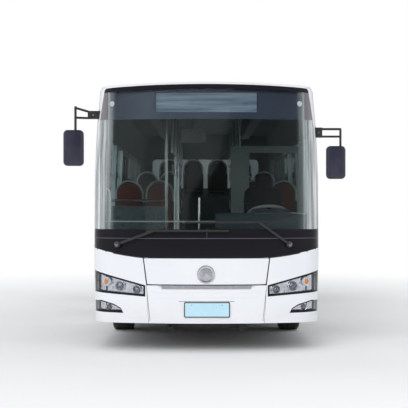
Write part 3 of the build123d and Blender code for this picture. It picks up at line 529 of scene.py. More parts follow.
# The outside of some CAD nodes, asked by rays from the front, a side, the back or above
class Skin:
    def __init__(self, names):
        verts, faces, self.owners = [], [], []
        for name in names:
            mesh = nodes[name].data
            start = len(verts)
            verts += [v.co.copy() for v in mesh.vertices]
            faces += [[start + i for i in p.vertices] for p in mesh.polygons]
            self.owners += [name] * len(mesh.polygons)
        self.tree = BVHTree.FromPolygons(verts, faces)

    def hit(self, start, way, out=0.0):
        for nudge in (0.0, 0.0011, -0.0013, 0.0031):
            shift = Vector((nudge, nudge * 0.7, nudge * 0.9))
            place, normal, index, _ = self.tree.ray_cast(Vector(start) + shift, Vector(way))
            if place:
                break
        else:
            raise ValueError(f"no surface from {start}")
        if normal.dot(Vector(way)) > 0:
            normal = -normal
        return place + normal * out, normal

    # Asks again a little to the side where the ray slips through a gap between two panels
    def shell(self, start, way, out, depth):
        way = Vector(way)
        for step in ((0, 0, 0), (0, 0, 1), (0, 0, -1), (1, 0, 0), (-1, 0, 0), (0, 1, 0), (0, -1, 0)):
            shift = Vector(step) * skinValues["aside"]
            shift -= way * shift.dot(way)
            place, normal = self.hit(Vector(start) + shift, way, out)
            if place.dot(way) < depth:
                return place - shift, normal
        return self.hit(start, way, out)

    def front(self, x, z, out=0.0):
        return self.shell((x, -9, z), (0, 1, 0), out, skinValues["front"])

    def rear(self, x, z, out=0.0):
        return self.shell((x, 9, z), (0, -1, 0), out, skinValues["rear"])

    def side(self, way, y, z, out=0.0):
        return self.shell((4 * way, y, z), (-way, 0, 0), out, skinValues["side"])

    def top(self, x, y, out=0.0):
        return self.shell((x, y, 6), (0, 0, -1), out, skinValues["top"])


# Gathers simple shapes into one mesh
class Mould:
    def __init__(self):
        self.verts = []
        self.faces = []

    def add(self, verts, faces):
        start = len(self.verts)
        self.verts += [Vector(v) for v in verts]
        self.faces += [[start + i for i in face] for face in faces]

    def box(self, low, high):
        x, y, z = zip(low, high)
        corners = [(x[i], y[j], z[k]) for i in (0, 1) for j in (0, 1) for k in (0, 1)]
        self.add(corners, [(0, 1, 3, 2), (4, 6, 7, 5), (0, 4, 5, 1), (2, 3, 7, 6), (0, 2, 6, 4), (1, 5, 7, 3)])

    # Rings of points joined in order, capped at both ends unless they close on themselves
    def rings(self, rings, closed=False):
        count = len(rings[0])
        faces = []
        for i in range(len(rings) if closed else len(rings) - 1):
            j = (i + 1) % len(rings)
            for k in range(count):
                m = (k + 1) % count
                faces.append((i * count + k, i * count + m, j * count + m, j * count + k))
        if not closed:
            faces.append(tuple(reversed(range(count))))
            faces.append(tuple(range((len(rings) - 1) * count, len(rings) * count)))
        self.add([p for ring in rings for p in ring], faces)

    # (radius, distance along the axis) pairs turned about the axis
    def lathe(self, profile, centre, axis, steps=32, wide=1.0, closed=False):
        axis = Vector(axis).normalized()
        up = Vector((0, 0, 1)) if abs(axis.z) < 0.9 else Vector((0, 1, 0))
        side = axis.cross(up).normalized()
        up = side.cross(axis)
        rings = []
        for radius, along in profile:
            middle = Vector(centre) + axis * along
            rings.append([middle + side * (math.cos(a) * radius * wide) + up * (math.sin(a) * radius)
                          for a in (2 * math.pi * k / steps for k in range(steps))])
        self.rings(rings, closed)

    # A round bar through points
    def tube(self, points, radius, steps=8, closed=False):
        points = [Vector(p) for p in points]
        rings = []
        side = None
        for i, p in enumerate(points):
            before = points[i - 1] if i or closed else p
            after = points[(i + 1) % len(points)] if closed or i + 1 < len(points) else p
            way = (after - before).normalized()
            side = (side - way * side.dot(way)).normalized() if side else way.orthogonal().normalized()
            up = way.cross(side)
            rings.append([p + (side * math.cos(a) + up * math.sin(a)) * radius
                          for a in (2 * math.pi * k / steps for k in range(steps))])
        self.rings(rings, closed)

    # A low moulding along places on a surface, given with their normals
    def bead(self, places, width, height, closed=False):
        rings = []
        count = len(places)
        for i, (p, n) in enumerate(places):
            before = places[i - 1][0] if i or closed else p
            after = places[(i + 1) % count][0] if closed or i + 1 < count else p
            across = (after - before).cross(n).normalized() * (width / 2)
            rings.append([p - across - n * 0.002, p - across * 0.8 + n * height * 0.8, p + n * height,
                          p + across * 0.8 + n * height * 0.8, p + across - n * 0.002])
        self.rings(rings, closed)

    def make(self, name, finish, body="coach", bevel=0.0, sharp=38, replaced=()):
        thing = newMesh(name, self.verts, self.faces, finish, body)
        soften(thing, sharp)
        if bevel:
            edge = thing.modifiers.new("bevel", "BEVEL")
            edge.width = bevel
            edge.segments = 2
            edge.harden_normals = True
        if replaced:
            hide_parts(*replaced)
        return thing


def soften(thing, sharp):
    shape = bmesh.new()
    shape.from_mesh(thing.data)
    bmesh.ops.recalc_face_normals(shape, faces=shape.faces)
    shape.to_mesh(thing.data)
    shape.free()
    thing.data.shade_smooth()
    thing.data.set_sharp_from_angle(angle=math.radians(sharp))


# Points of a rounded rectangle
def roundedPath(low, high, radius, steps=6):
    points = []
    for quarter in range(4):
        u = high[0] - radius if quarter in (0, 3) else low[0] + radius
        v = high[1] - radius if quarter < 2 else low[1] + radius
        for k in range(steps + 1):
            angle = math.pi / 2 * (quarter + k / steps)
            points.append((u + radius * math.cos(angle), v + radius * math.sin(angle)))
    return points


# Points along straight runs between corners, no further apart than a step
def runs(corners, step=0.08, closed=False):
    points = []
    ends = corners + corners[:1] if closed else corners
    for a, b in zip(ends, ends[1:]):
        parts = max(1, math.ceil(math.dist(a, b) / step))
        points += [tuple(p + (q - p) * k / parts for p, q in zip(a, b)) for k in range(parts)]
    return points if closed else points + [corners[-1]]


# Lays an outline in x and z at a depth
def upright(u, v, w):
    return Vector((u, w, v))


# A plate from an outline in two directions, between two depths, laid down by a placing function
def plate(mould, outline, low, high, lay):
    count = len(outline)
    verts = [lay(u, v, low) for u, v in outline] + [lay(u, v, high) for u, v in outline]
    faces = [tuple(range(count)), tuple(range(2 * count - 1, count - 1, -1))]
    faces += [(k, (k + 1) % count, count + (k + 1) % count, count + k) for k in range(count)]
    mould.add(verts, faces)


# Rounded look for the faceted CAD corners: smooth shading across edges that turn little
def smoothGroup():
    group = bpy.data.node_groups.new("smoothCorners", "GeometryNodeTree")
    group.interface.new_socket(name="Geometry", in_out="INPUT", socket_type="NodeSocketGeometry")
    group.interface.new_socket(name="Turn", in_out="INPUT", socket_type="NodeSocketFloat").default_value = 0.5
    group.interface.new_socket(name="Geometry", in_out="OUTPUT", socket_type="NodeSocketGeometry")
    make = group.nodes.new
    entry, leave = make("NodeGroupInput"), make("NodeGroupOutput")
    bare, merge = make("GeometryNodeRemoveAttribute"), make("GeometryNodeMergeByDistance")
    faces, edges = make("GeometryNodeSetShadeSmooth"), make("GeometryNodeSetShadeSmooth")
    angle, less = make("GeometryNodeInputMeshEdgeAngle"), make("FunctionNodeCompare")
    bare.inputs["Name"].default_value = "custom_normal"
    merge.inputs["Distance"].default_value = 0.00005
    edges.domain = "EDGE"
    less.data_type = "FLOAT"
    less.operation = "LESS_THAN"
    link = group.links.new
    link(entry.outputs["Geometry"], bare.inputs["Geometry"])
    link(bare.outputs["Geometry"], merge.inputs["Geometry"])
    link(merge.outputs["Geometry"], faces.inputs["Geometry"])
    link(faces.outputs["Geometry"], edges.inputs["Geometry"])
    link(angle.outputs["Unsigned Angle"], less.inputs["A"])
    link(entry.outputs["Turn"], less.inputs["B"])
    link(less.outputs["Result"], edges.inputs["Shade Smooth"])
    link(edges.outputs["Geometry"], leave.inputs["Geometry"])
    return group


smoothCorners = smoothGroup()
sharpNodes = ("engine_block", "crossmembers", "frame_rails_front", "frame_rails_rear")
for name, node in nodes.items():
    if name not in sharpNodes:
        node.modifiers.new("smoothCorners", "NODES").node_group = smoothCorners

shellNames = ["windscreen", "front_corner_left", "front_corner_right", "front_bumper", "front_hatch",
              "front_lamp_covers", "wall_left", "wall_right", "roof_panel", "rear_wall", "rear_window",
              "engine_door", "rear_lamps", "side_windows_left", "side_windows_right"]
shellNames += [name for name in nodeBodies if name.endswith(("leaf", "glass"))]
bodySkin = Skin(shellNames)
print("skins ready")


# Dark inner line round the glass of a window, laid on the wall just outside its edge
def gasket(mould, low, high, radius, cast, width=0.026, height=0.004):
    path = roundedPath((low[0] - 0.007, low[1] - 0.007), (high[0] + 0.007, high[1] + 0.007), radius)
    places = [cast(u, v) for u, v in runs(path, 0.25, True)]
    mould.bead(places, width, height, True)


glassValues = {"sill": 1.15, "head": 2.38, "radius": 0.09, "bar": 1.98}


def dressWindows():
    v = glassValues
    left = [(-3.44 + 1.61 * i, -1.94 + 1.61 * i) for i in range(5)]
    right = [(-3.22 + 1.30 * i, -2.03 + 1.30 * i) for i in range(2)]
    right += [(0.73 + 1.2933 * i, 1.9133 + 1.2933 * i) for i in range(3)]
    rubber, bars = Mould(), Mould()
    for way, spans in ((1, left), (-1, right)):
        cast = lambda y, z, w=way: bodySkin.side(w, y, z)
        for start, end in spans:
            gasket(rubber, (start, v["sill"]), (end, v["head"]), v["radius"], cast)
            line = runs([(start + 0.01, v["bar"]), (end - 0.01, v["bar"])], 0.3)
            bars.bead([cast(y, z) for y, z in line], 0.034, 0.007)
    cast = lambda y, z: bodySkin.side(1, y, z)
    gasket(rubber, (-4.56, 1.06), (-3.56, 2.38), v["radius"], cast)
    bars.bead([cast(-4.08, z) for z in (1.08, 1.4, 1.7, 1.9, 2.1, 2.36)], 0.034, 0.007)
    cast = lambda x, z: bodySkin.rear(x, z)
    gasket(rubber, (-1.0, 1.86), (1.0, 2.44), v["radius"], cast)
    rubber.make("windowRubber", "blackRubber")
    bars.make("windowBars", "blackPlastic")


doorValues = {"doors": {"front_door": -3.95, "middle_door": 0.0}, "edge": 0.598, "meet": 0.007,
              "glassFoot": 0.56, "glassTop": 2.306, "barX": -1.13, "barFoot": 1.02, "barTop": 1.78}


def doorBar(y):
    bar = Mould()
    x, foot, top = doorValues["barX"], doorValues["barFoot"], doorValues["barTop"]
    bar.tube([(x - 0.03, y, foot), (x, y, foot + 0.04), (x, y, top - 0.04), (x - 0.03, y, top)], 0.014)
    for z in (foot, top):
        bar.lathe([(0.0, 0), (0.026, 0), (0.026, 0.012), (0, 0.012)], (x - 0.055, y, z), (1, 0, 0), 16)
        bar.tube([(x - 0.05, y, z), (x - 0.02, y, z)], 0.012)
    return bar


# Rubber round the glass and along the meeting edge of each leaf, and grab bars inside. The rear leaf of the
# front door has no bar, because it opens against the entry screen
def dressDoors():
    v = doorValues
    cast = lambda y, z: bodySkin.side(-1, y, z)
    for door, centre in v["doors"].items():
        for half, way in (("fore", -1), ("aft", 1)):
            body = f"{door}_{half}"
            meet, edge = centre + way * v["meet"], centre + way * v["edge"]
            low, high = min(meet, edge), max(meet, edge)
            rubber = Mould()
            gasket(rubber, (low + 0.062, v["glassFoot"]), (high - 0.062, v["glassTop"]), 0.09, cast, 0.022, 0.003)
            line = [cast(meet + way * 0.008, z) for z in (0.425, 0.8, 1.05, 1.5, 1.9, 2.2, 2.36)]
            rubber.bead(line, 0.016, 0.003)
            rubber.make(f"{body}_rubber", "blackRubber", body)
            if body != "front_door_aft":
                doorBar(meet + way * 0.10).make(f"{body}_bar", "railSteel", body)


axleValues = {"front": -2.65, "rear": 2.55, "height": 0.478}
sideValues = {"belt": 1.045, "arch": 0.556, "archFoot": 0.315, "lamps": 0.56}


# Mouldings, seams and small lamps along the sides
def dressSides():
    v, height = sideValues, axleValues["height"]
    belt, seams, lamps, lips = Mould(), Mould(), Mould(), Mould()
    spans = {1: [(-4.66, 4.98)], -1: [(-3.3, -0.66), (0.66, 4.98)]}
    for way in (1, -1):
        for start, end in spans[way]:
            line = runs([(start, v["belt"]), (end, v["belt"])], 0.4)
            belt.bead([bodySkin.side(way, y, z) for y, z in line], 0.034, 0.005)
        for y in (-1.25, 1.0, 1.75, 3.45, 4.35):
            if way == 1 or y != 1.0:
                seams.bead([bodySkin.side(way, y, z) for z in (0.312, 0.5, 0.8, 1.02)], 0.005, 0.0006)
        for axle in (axleValues["front"], axleValues["rear"]):
            radius = v["arch"]
            arc = [(axle + radius * math.cos(a), height + radius * math.sin(a))
                   for a in (math.pi * k / 28 for k in range(29))]
            line = [(axle + radius, v["archFoot"])] + arc + [(axle - radius, v["archFoot"])]
            lips.bead([bodySkin.side(way, y, z) for y, z in line], 0.024, 0.007)
        for y in (-1.6, 1.35, 4.1):
            base, normal = bodySkin.side(way, y, v["lamps"])
            lamps.lathe([(0, 0), (0.022, 0), (0.022, 0.006), (0.016, 0.011), (0, 0.012)], base, normal, 20, 1.9)
    belt.make("beltMouldings", "whitePaint")
    seams.make("skirtSeams", "seamGrey")
    lips.make("archLips", "blackRubber")
    lamps.make("sideMarkers", "amberLens")


screenValues = {"end": (1.205, 1.107), "low": 1.012, "rise": 0.119, "start": 0.62, "span": 0.675,
                "pivots": ((-0.974, 1.162), (0.904, 1.162)),
                "arms": (((-0.93, 1.165), (-0.56, 1.304)), ((0.875, 1.17), (0.565, 1.39))),
                "blades": ((-0.65, 0.238, 1.297), (-0.228, 0.66, 1.39))}


# Rubber along the windscreen's swept foot, wiper caps and blades, and the small bracket between them
def dressScreen():
    v = screenValues
    x, z = v["end"]
    foot = [(-x, z)]
    for x in (k / 10 for k in range(-11, 12)):
        rise = max(0.0, abs(x) - v["start"]) / v["span"]
        foot.append((x, v["low"] + v["rise"] * (0.42 * rise + 0.58 * rise * rise)))
    foot.append(v["end"])
    rubber = Mould()
    rubber.bead([bodySkin.front(x, z) for x, z in foot], 0.013, 0.002)
    rubber.make("screenRubber", "blackRubber")
    caps, blades, bracket = Mould(), Mould(), Mould()
    wiperSkin = Skin(["wipers"])
    for x, z in v["pivots"]:
        caps.lathe([(0, -0.002), (0.026, -0.002), (0.026, 0.0), (0.019, 0.003), (0, 0.004)],
                   wiperSkin.front(x, z)[0], (0, -1, 0), 24)
    for ends in v["arms"]:
        blades.tube([bodySkin.front(x, z)[0] + Vector((0, -0.036, 0)) for x, z in runs(ends, 0.06)], 0.005)
    for low, high, z in v["blades"]:
        line = runs([(low, z), (high, z)], 0.08)
        blades.bead([bodySkin.front(x, q, 0.010) for x, q in line], 0.006, 0.006)
    face = bodySkin.front(0.003, 1.28)[0].y
    bracket.box((-0.026, face - 0.006, 1.312), (0.032, face + 0.004, 1.326))
    bracket.box((-0.004, face - 0.006, 1.232), (0.010, face + 0.004, 1.314))
    caps.make("wiperCaps", "darkLens")
    blades.make("wiperRubber", "blackRubber")
    bracket.make("screenBracket", "blackPlastic", bevel=0.003)


lensValues = {"amber": (1.096, 0.752), "lamps": ((0.945, 0.704, 0.050), (0.760, 0.671, 0.042)),
              "fog": (1.060, 0.470, 0.034),
              "studs": ((0.852, 0.69), (1.02, 0.733), (1.15, 0.77), (0.852, 0.655), (1.02, 0.69), (0.70, 0.655))}


# Lenses, reflector rings and the amber indicator behind the clear covers
def dressLamps():
    v = lensValues
    rings, domes, amber, cells = Mould(), Mould(), Mould(), Mould()
    lampSkin = Skin(["front_lamps"])
    for side in (-1, 1):
        for x, z, r in v["lamps"]:
            place = lampSkin.front(side * x, z)[0]
            way = (side * 0.22, -1, 0)
            rings.lathe([(r * 0.80, -0.004), (r * 1.04, -0.004), (r * 1.04, 0.006), (r * 0.96, 0.010),
                         (r * 0.80, 0.002)], place, way, 40, closed=True)
            domes.lathe([(0, 0.0), (r * 0.82, 0.0), (r * 0.80, 0.004), (r * 0.62, 0.011), (r * 0.34, 0.015),
                         (0, 0.016)], place, way, 40)
        x, z = v["amber"]
        place = lampSkin.front(side * x, z)[0]
        amber.lathe([(0, 0), (0.030, 0), (0.029, 0.006), (0.020, 0.012), (0, 0.014)], place,
                    (side * 0.3, -1, 0), 32, 0.78)
        x, z, r = v["fog"]
        place = lampSkin.front(side * x, z)[0]
        way = (side * 0.25, -1, 0)
        rings.lathe([(r, -0.002), (r * 1.2, -0.002), (r * 1.2, 0.008), (r, 0.004)], place, way, 32, closed=True)
        domes.lathe([(0, 0), (r, 0), (r * 0.8, 0.007), (0, 0.010)], place, way, 32)
        for x, z in v["studs"]:
            place, normal = lampSkin.front(side * x, z)
            cells.lathe([(0, 0), (0.010, 0), (0.007, 0.004), (0, 0.005)], place, normal, 12)
    lampBacks()
    rings.make("lampRings", "lampChrome")
    domes.make("lampLenses", "darkLens")
    amber.make("indicatorLenses", "amberLens")
    cells.make("lampStuds", "lampChrome")


# Reflector sheets behind the wrapped outer ends of the covers
def lampBacks():
    backs = Mould()
    edges = ((lambda x: 0.60 + 0.0735 * (x - 0.665), lambda x: 0.712 + 0.268 * (x - 0.665)),
             (lambda x: 0.425, lambda x: 0.53 + 0.05 * (x - 1.12)))
    count = 16
    for side in (-1, 1):
        for low, high in edges:
            front, deep = [], []
            for x in (1.125 + 0.013 * k for k in range(count // 2)):
                for z in (low(x), high(x)):
                    place, normal = bodySkin.front(side * x, z)
                    front.append(place - normal * 0.034)
                    deep.append(place - normal * 0.037)
            faces = [(0, count, count + 1, 1), (count - 2, count - 1, 2 * count - 1, 2 * count - 2)]
            for a in range(0, count - 2, 2):
                b = a + count
                faces += [(a, a + 1, a + 3, a + 2), (b, b + 2, b + 3, b + 1), (a, a + 2, b + 2, b),
                          (a + 1, b + 1, b + 3, a + 3)]
            backs.add(front + deep, faces)
    backs.make("lampBacks", "lampChrome")


noseValues = {"badge": (-0.005, 0.839), "proud": 0.004, "plateLow": (-0.242, 0.372), "plateHigh": (0.253, 0.538),
              "screws": (-0.16, 0.171), "press": ((0.655, 0.60, 0.030), (0.588, 0.56, 0.016)),
              "lip": ((-0.30, 0.545), (0.30, 0.545)), "ends": ((0.6545, 0.714), (0.6144, 0.330))}


def noseBadge():
    place = bodySkin.front(*noseValues["badge"])[0] + Vector((0, -noseValues["proud"], 0))
    badge, disc = Mould(), Mould()
    badge.lathe([(0, 0.002), (0.072, 0.002), (0.078, 0.0045), (0.083, 0.008), (0.090, 0.009), (0.096, 0.006),
                 (0.097, -0.004), (0, -0.004)], place, (0, -1, 0), 64)
    badge.make("noseBadge", "lampChrome", "front_flap")
    disc.lathe([(0, 0.0036), (0.060, 0.0034), (0.0705, 0.0026), (0.0705, 0.001), (0, 0.001)], place,
               (0, -1, 0), 64)
    disc.make("noseBadgeFace", "badgeFace", "front_flap")


# A blank plate in its holder on a wall at one depth, facing one way along Y
def blankPlate(holderName, faceName, low, high, wall, way, sunk, start):
    holder, face, rim = Mould(), Mould(), 0.010
    plate(holder, roundedPath(low, high, 0.012, 4), wall - way * sunk, wall + way * 0.004, upright)
    holder.make(holderName, "blackPlastic", bevel=0.002)
    outline = roundedPath([c + rim for c in low], [c - rim for c in high], rim, 4)
    plate(face, outline, wall + way * start, wall + way * 0.0065, upright)
    face.make(faceName, "plateBlue", bevel=0.001)


def frontPlate():
    v = noseValues
    depth = min(bodySkin.front(x, z)[0].y for x in (-0.24, 0, 0.24) for z in (0.39, 0.455, 0.52))
    blankPlate("plateHolder", "numberPlate", v["plateLow"], v["plateHigh"], depth, -1, 0.025, 0.003)
    screws = Mould()
    for x in v["screws"]:
        screws.lathe([(0, 0.0), (0.007, 0.0), (0.005, 0.003), (0, 0.0035)], (x, depth - 0.006, 0.505),
                     (0, -1, 0), 12)
    screws.make("plateScrews", "railSteel")


# The shaded grip under the flap
def gripStrip():
    grip, level = Mould(), 0.70
    for start, end in ((k / 20, (k + 1) / 20) for k in range(-10, 10)):
        corners = [(start, 0.7165), (end, 0.7165), (end * 0.95, 0.681), (start * 0.95, 0.681)]
        places = [bodySkin.front(x, level)[0] + Vector((0, deep, z - level)) for deep in (-0.0015, 0.003)
                  for x, z in corners]
        grip.add(places, [(0, 1, 2, 3), (7, 6, 5, 4), (0, 4, 5, 1), (1, 5, 6, 2), (2, 6, 7, 3), (3, 7, 4, 0)])
    grip.make("gripShade", "paintedShadeAndReflection")


wheelReflectionValues = {"centre": (0.70, -4.56, 1.48), "axis": (0, -0.42, -0.91), "radius": 0.225, "section": 0.0195}


# Painted reflection: a pale grey ring laid over the rim of the steering wheel
def wheelRimReflection():
    v, rim = wheelReflectionValues, Mould()
    turns = [math.radians(angle) for angle in range(0, 361, 30)]
    rim.lathe([(v["radius"] + v["section"] * math.cos(turn), v["section"] * math.sin(turn)) for turn in turns],
              v["centre"], v["axis"], 48)
    rim.make("wheelRimReflection", "paintedShadeAndReflection")


# Faint press lines, and the seams that run on from the flap over the bumper
def noseLines():
    v = noseValues
    press, seam = Mould(), Mould()
    for z, reach, width in v["press"]:
        line = runs([(-reach, z), (reach, z)], 0.1)
        press.bead([bodySkin.front(x, q, -0.001) for x, q in line], width, 0.0035)
    seam.bead([bodySkin.front(x, q, -0.001) for x, q in runs(v["lip"], 0.1)], 0.008, 0.002)
    for side in (-1, 1):
        line = runs([(side * x, z) for x, z in v["ends"]], 0.06)
        seam.bead([bodySkin.front(x - side * 0.001, z, -0.001) for x, z in line], 0.008, 0.0016)
    press.make("pressLines", "whitePaint")
    seam.make("lipLine", "seamGrey")


dressWindows()
dressDoors()
dressSides()
dressScreen()
dressLamps()
noseBadge()
frontPlate()
gripStrip()
wheelRimReflection()
noseLines()
print("outside dressed")

mirrorValues = {"right": ((-1.483, 2.225), 0.224, 0.401), "left": ((1.444, 2.063), 0.212, 0.368)}
mirrorSteps = ((-4.8395, 0.030), (-4.834, 0.012), (-4.820, 0.002), (-4.80, 0.0), (-4.738, 0.0), (-4.7315, 0.006))


# Mirror glass on the driver's side of each head, with a seam round the shell and a lower wide-angle glass
def dressMirrors():
    heads, glassPieces, seams, bolts = Mould(), Mould(), Mould(), Mould()
    for (x, z), width, height in mirrorValues.values():
        back = -4.7325
        reach, rise = width / 2 - 0.018, height / 2 - 0.018
        split = z - rise * 0.35
        for low, high in (((x - reach, split + 0.006), (x + reach, z + rise)),
                          ((x - reach, z - rise), (x + reach, split - 0.006))):
            plate(glassPieces, roundedPath(low, high, 0.045, 5), back, back + 0.0015, upright)
        rings = []
        for y, inset in mirrorSteps:
            path = roundedPath((x - width / 2 + inset, z - height / 2 + inset),
                               (x + width / 2 - inset, z + height / 2 - inset), 0.046 - inset / 2, 7)
            rings.append([upright(u, v, y) for u, v in path])
        heads.rings(rings)
        edge = roundedPath((x - width / 2 + 0.003, z - height / 2 + 0.003),
                           (x + width / 2 - 0.003, z + height / 2 - 0.003), 0.044, 8)
        seams.tube([(u, -4.757, v) for u, v in edge], 0.0029, 6, True)
    for x, z in ((-1.14, 2.592), (-1.26, 2.592), (1.14, 2.396), (1.25, 2.396)):
        bolts.lathe([(0, 0), (0.012, 0), (0.012, 0.007), (0, 0.008)], (x, -4.8175, z), (0, -1, 0), 6)
    heads.make("mirrorShells", "mirrorPlastic", replaced=("mirror_heads",))
    glassPieces.make("mirrorGlass", "mirrorGlass")
    seams.make("mirrorSeams", "blackRubber")
    bolts.make("mirrorBolts", "castMetal")


# Rear: lamp lenses, third brake lamp, blank plate and louvre blades in the engine door
def dressRear():
    red, amber, clear, rings = Mould(), Mould(), Mould(), Mould()
    for side in (-1, 1):
        for z, mould in ((1.19, red), (1.05, amber), (0.92, red), (0.79, clear)):
            place, normal = bodySkin.rear(side * 1.07, z)
            mould.lathe([(0, 0.0), (0.045, 0.0), (0.044, 0.004), (0.030, 0.008), (0, 0.010)], place, normal, 32)
            rings.lathe([(0.045, 0.0), (0.052, 0.0), (0.052, 0.003), (0.045, 0.004)], place, normal, 32,
                        closed=True)
        place, normal = bodySkin.rear(side * 0.96, 2.58)
        red.lathe([(0, 0), (0.02, 0), (0.018, 0.006), (0, 0.008)], place, normal, 20, 1.6)
    place = bodySkin.rear(0, 2.53)[0]
    outline = roundedPath((-0.15, 2.515), (0.15, 2.545), 0.014, 4)
    plate(red, outline, place.y - 0.004, place.y + 0.008, upright)
    red.make("rearRedLenses", "rearLampRed")
    amber.make("rearAmberLenses", "amberLens")
    clear.make("rearClearLenses", "darkLens")
    rings.make("rearLampRings", "lampChrome")
    blades, grips = Mould(), Mould()
    for k in range(8):
        z = 0.631 + 0.06 * k
        line = runs([(-0.59, z), (0.59, z)], 0.12)
        blades.tube([bodySkin.rear(x, z + 0.03, -0.022)[0] - Vector((0, 0, 0.03)) for x, _ in line], 0.007, 6)
    blades.make("engineLouvres", "blackPlastic", "engine_lid")
    for x in (-0.62, 0.62):
        place, normal = bodySkin.rear(x, 0.56)
        grips.lathe([(0, -0.002), (0.026, -0.002), (0.026, 0.001), (0.012, 0.002), (0.010, 0.005), (0, 0.005)],
                    place, normal, 24)
    grips.make("engineLatches", "blackPlastic", "engine_lid")
    wall = bodySkin.rear(0, 0.40)[0].y
    blankPlate("rearPlateHolder", "rearNumberPlate", (-0.245, 0.335), (0.245, 0.465), wall, 1, 0.02, 0.0)


podValues = {"half": 0.75, "start": -0.10, "end": 2.50, "foot": 2.90, "top": 3.108, "radius": 0.16, "edge": 0.04}


# Roof unit: a rounded shell with side louvres and two guarded fans
def dressRoof():
    v = podValues
    shell, louvres, fans, wells = Mould(), Mould(), Mould(), Mould()
    rings = []
    for inset, z in ((0, v["foot"]), (0, v["top"] - v["edge"]), (0.012, v["top"] - 0.016), (v["edge"], v["top"])):
        path = roundedPath((-v["half"] + inset, v["start"] + inset), (v["half"] - inset, v["end"] - inset),
                           v["radius"] - inset / 2, 8)
        rings.append([Vector((x, y, z)) for x, y in path])
    shell.rings(rings)
    shell.make("airconShell", "airconShell", replaced=("roof_aircon",))
    for y in (0.62, 1.78):
        centre = (0, y, v["top"])
        wells.lathe([(0, -0.002), (0.30, -0.002), (0.30, 0.0015), (0, 0.0015)], centre, (0, 0, 1), 48)
        for radius in (0.30, 0.245, 0.19, 0.135, 0.08):
            ring = [(radius * math.cos(a), y + radius * math.sin(a), v["top"] + 0.006)
                    for a in (2 * math.pi * k / 48 for k in range(48))]
            fans.tube(ring, 0.004, 6, True)
        for k in range(6):
            a = math.pi * k / 6
            fans.tube([(0.30 * math.cos(a), y + 0.30 * math.sin(a), v["top"] + 0.006),
                       (-0.30 * math.cos(a), y - 0.30 * math.sin(a), v["top"] + 0.006)], 0.004, 6)
        fans.lathe([(0, 0.003), (0.06, 0.003), (0.05, 0.011), (0, 0.0115)], centre, (0, 0, 1), 32)
    for side in (-1, 1):
        for k in range(5):
            z = 2.965 + 0.022 * k
            louvres.box((side * 0.7515 - 0.004, 0.35, z), (side * 0.7515 + 0.004, 2.05, z + 0.010))
    louvres.make("airconLouvres", "blackPlastic")
    wells.make("fanWells", "blackPlastic")
    fans.make("fanGuards", "chassisPaint")
    rims, hinges = Mould(), Mould()
    roofSkin = Skin(["roof_hatches", "roof_panel"])
    for y in (-2.6, 3.8):
        path = runs(roundedPath((-0.33, y - 0.26), (0.33, y + 0.26), 0.06, 6), 0.3, True)
        rims.bead([roofSkin.top(x, q) for x, q in path], 0.022, 0.006, True)
        for x in (-0.22, 0.22):
            place = roofSkin.top(x, y + 0.33)[0]
            hinges.box((x - 0.03, y + 0.29, place.z - 0.004), (x + 0.03, y + 0.36, place.z + 0.024))
    rims.make("hatchRims", "airconShell")
    hinges.make("hatchHinges", "blackPlastic", bevel=0.004)
    seams, gutters = Mould(), Mould()
    for y in (-3.6, -1.3, 3.0, 4.4):
        seams.bead([bodySkin.top(x, y) for x in (-1.05, -0.9, -0.6, -0.3, 0, 0.3, 0.6, 0.9, 1.05)], 0.03, 0.002)
    for way in (-1, 1):
        line = runs([(-4.5, 2.565), (4.9, 2.565)], 0.5)
        gutters.bead([bodySkin.side(way, y, z) for y, z in line], 0.016, 0.008)
    seams.make("roofSeams", "whitePaint")
    gutters.make("roofGutters", "whitePaint")


wheelValues = {"tyre": 0.4779, "half": 0.138, "rim": 0.286}


# A tyre with ribs, cross sipes on the shoulders and rings on its walls
def tyreShape(mould, centre, steps=160):
    r, w = wheelValues["tyre"], wheelValues["half"]
    half = [(0.0, r), (0.014, r), (0.016, r - 0.009), (0.024, r - 0.009), (0.026, r), (0.058, r),
            (0.060, r - 0.009), (0.068, r - 0.009), (0.070, r), (0.104, r - 0.002), (0.113, r - 0.006),
            (0.122, r - 0.018), (0.129, r - 0.036), (0.134, r - 0.060), (0.1365, r - 0.082), (0.1375, r - 0.094),
            (0.1365, r - 0.106), (0.136, r - 0.120), (0.133, r - 0.124), (0.130, r - 0.150), (0.127, r - 0.166),
            (0.127, r - 0.176), (0.122, r - 0.186), (0.118, 0.287)]
    half = [(a, b, i) for i, (a, b) in enumerate(half)]
    outline = [(-a, b, i) for a, b, i in half[:0:-1]] + half
    rings = []
    for k in range(steps):
        angle = 2 * math.pi * k / steps
        ring = []
        for along, radius, index in outline:
            cut = 0.006 if 9 <= index <= 12 and k % 4 == 0 else 0.0
            cut += 0.003 if index in (4, 5, 8) and k % 4 == 2 else 0.0
            deep = radius - cut
            ring.append(Vector(centre) + Vector((along, math.cos(angle) * deep, math.sin(angle) * deep)))
        rings.append(ring)
    mould.rings(rings, True)


wheelSets = (("front", "Tyre", "wheel", "tyre", "rim", (1.048,)),
             ("rear", "Tyres", "wheels", "tyres", "rims", (1.052, 0.742)))


def dressWheels():
    for side, way in (("left", 1), ("right", -1)):
        for end, label, wheel, old, rim, places in wheelSets:
            body, axle = f"{wheel}_{end}_{side}", axleValues[end]
            tyre, nuts, cap = Mould(), Mould(), Mould()
            for x in places:
                tyreShape(tyre, (way * x, axle, axleValues["height"]))
            tyre.make(f"{end}{label}_{side}", "tyreRubber", body, sharp=30, replaced=(f"{old}_{end}_{side}",))
            wheelDetails(nuts, cap, f"{rim}_{end}_{side}", way, axle)
            nuts.make(f"{end}WheelNuts_{side}", "castMetal", body)
            cap.make(f"{end}HubCap_{side}", "lampChrome", body)


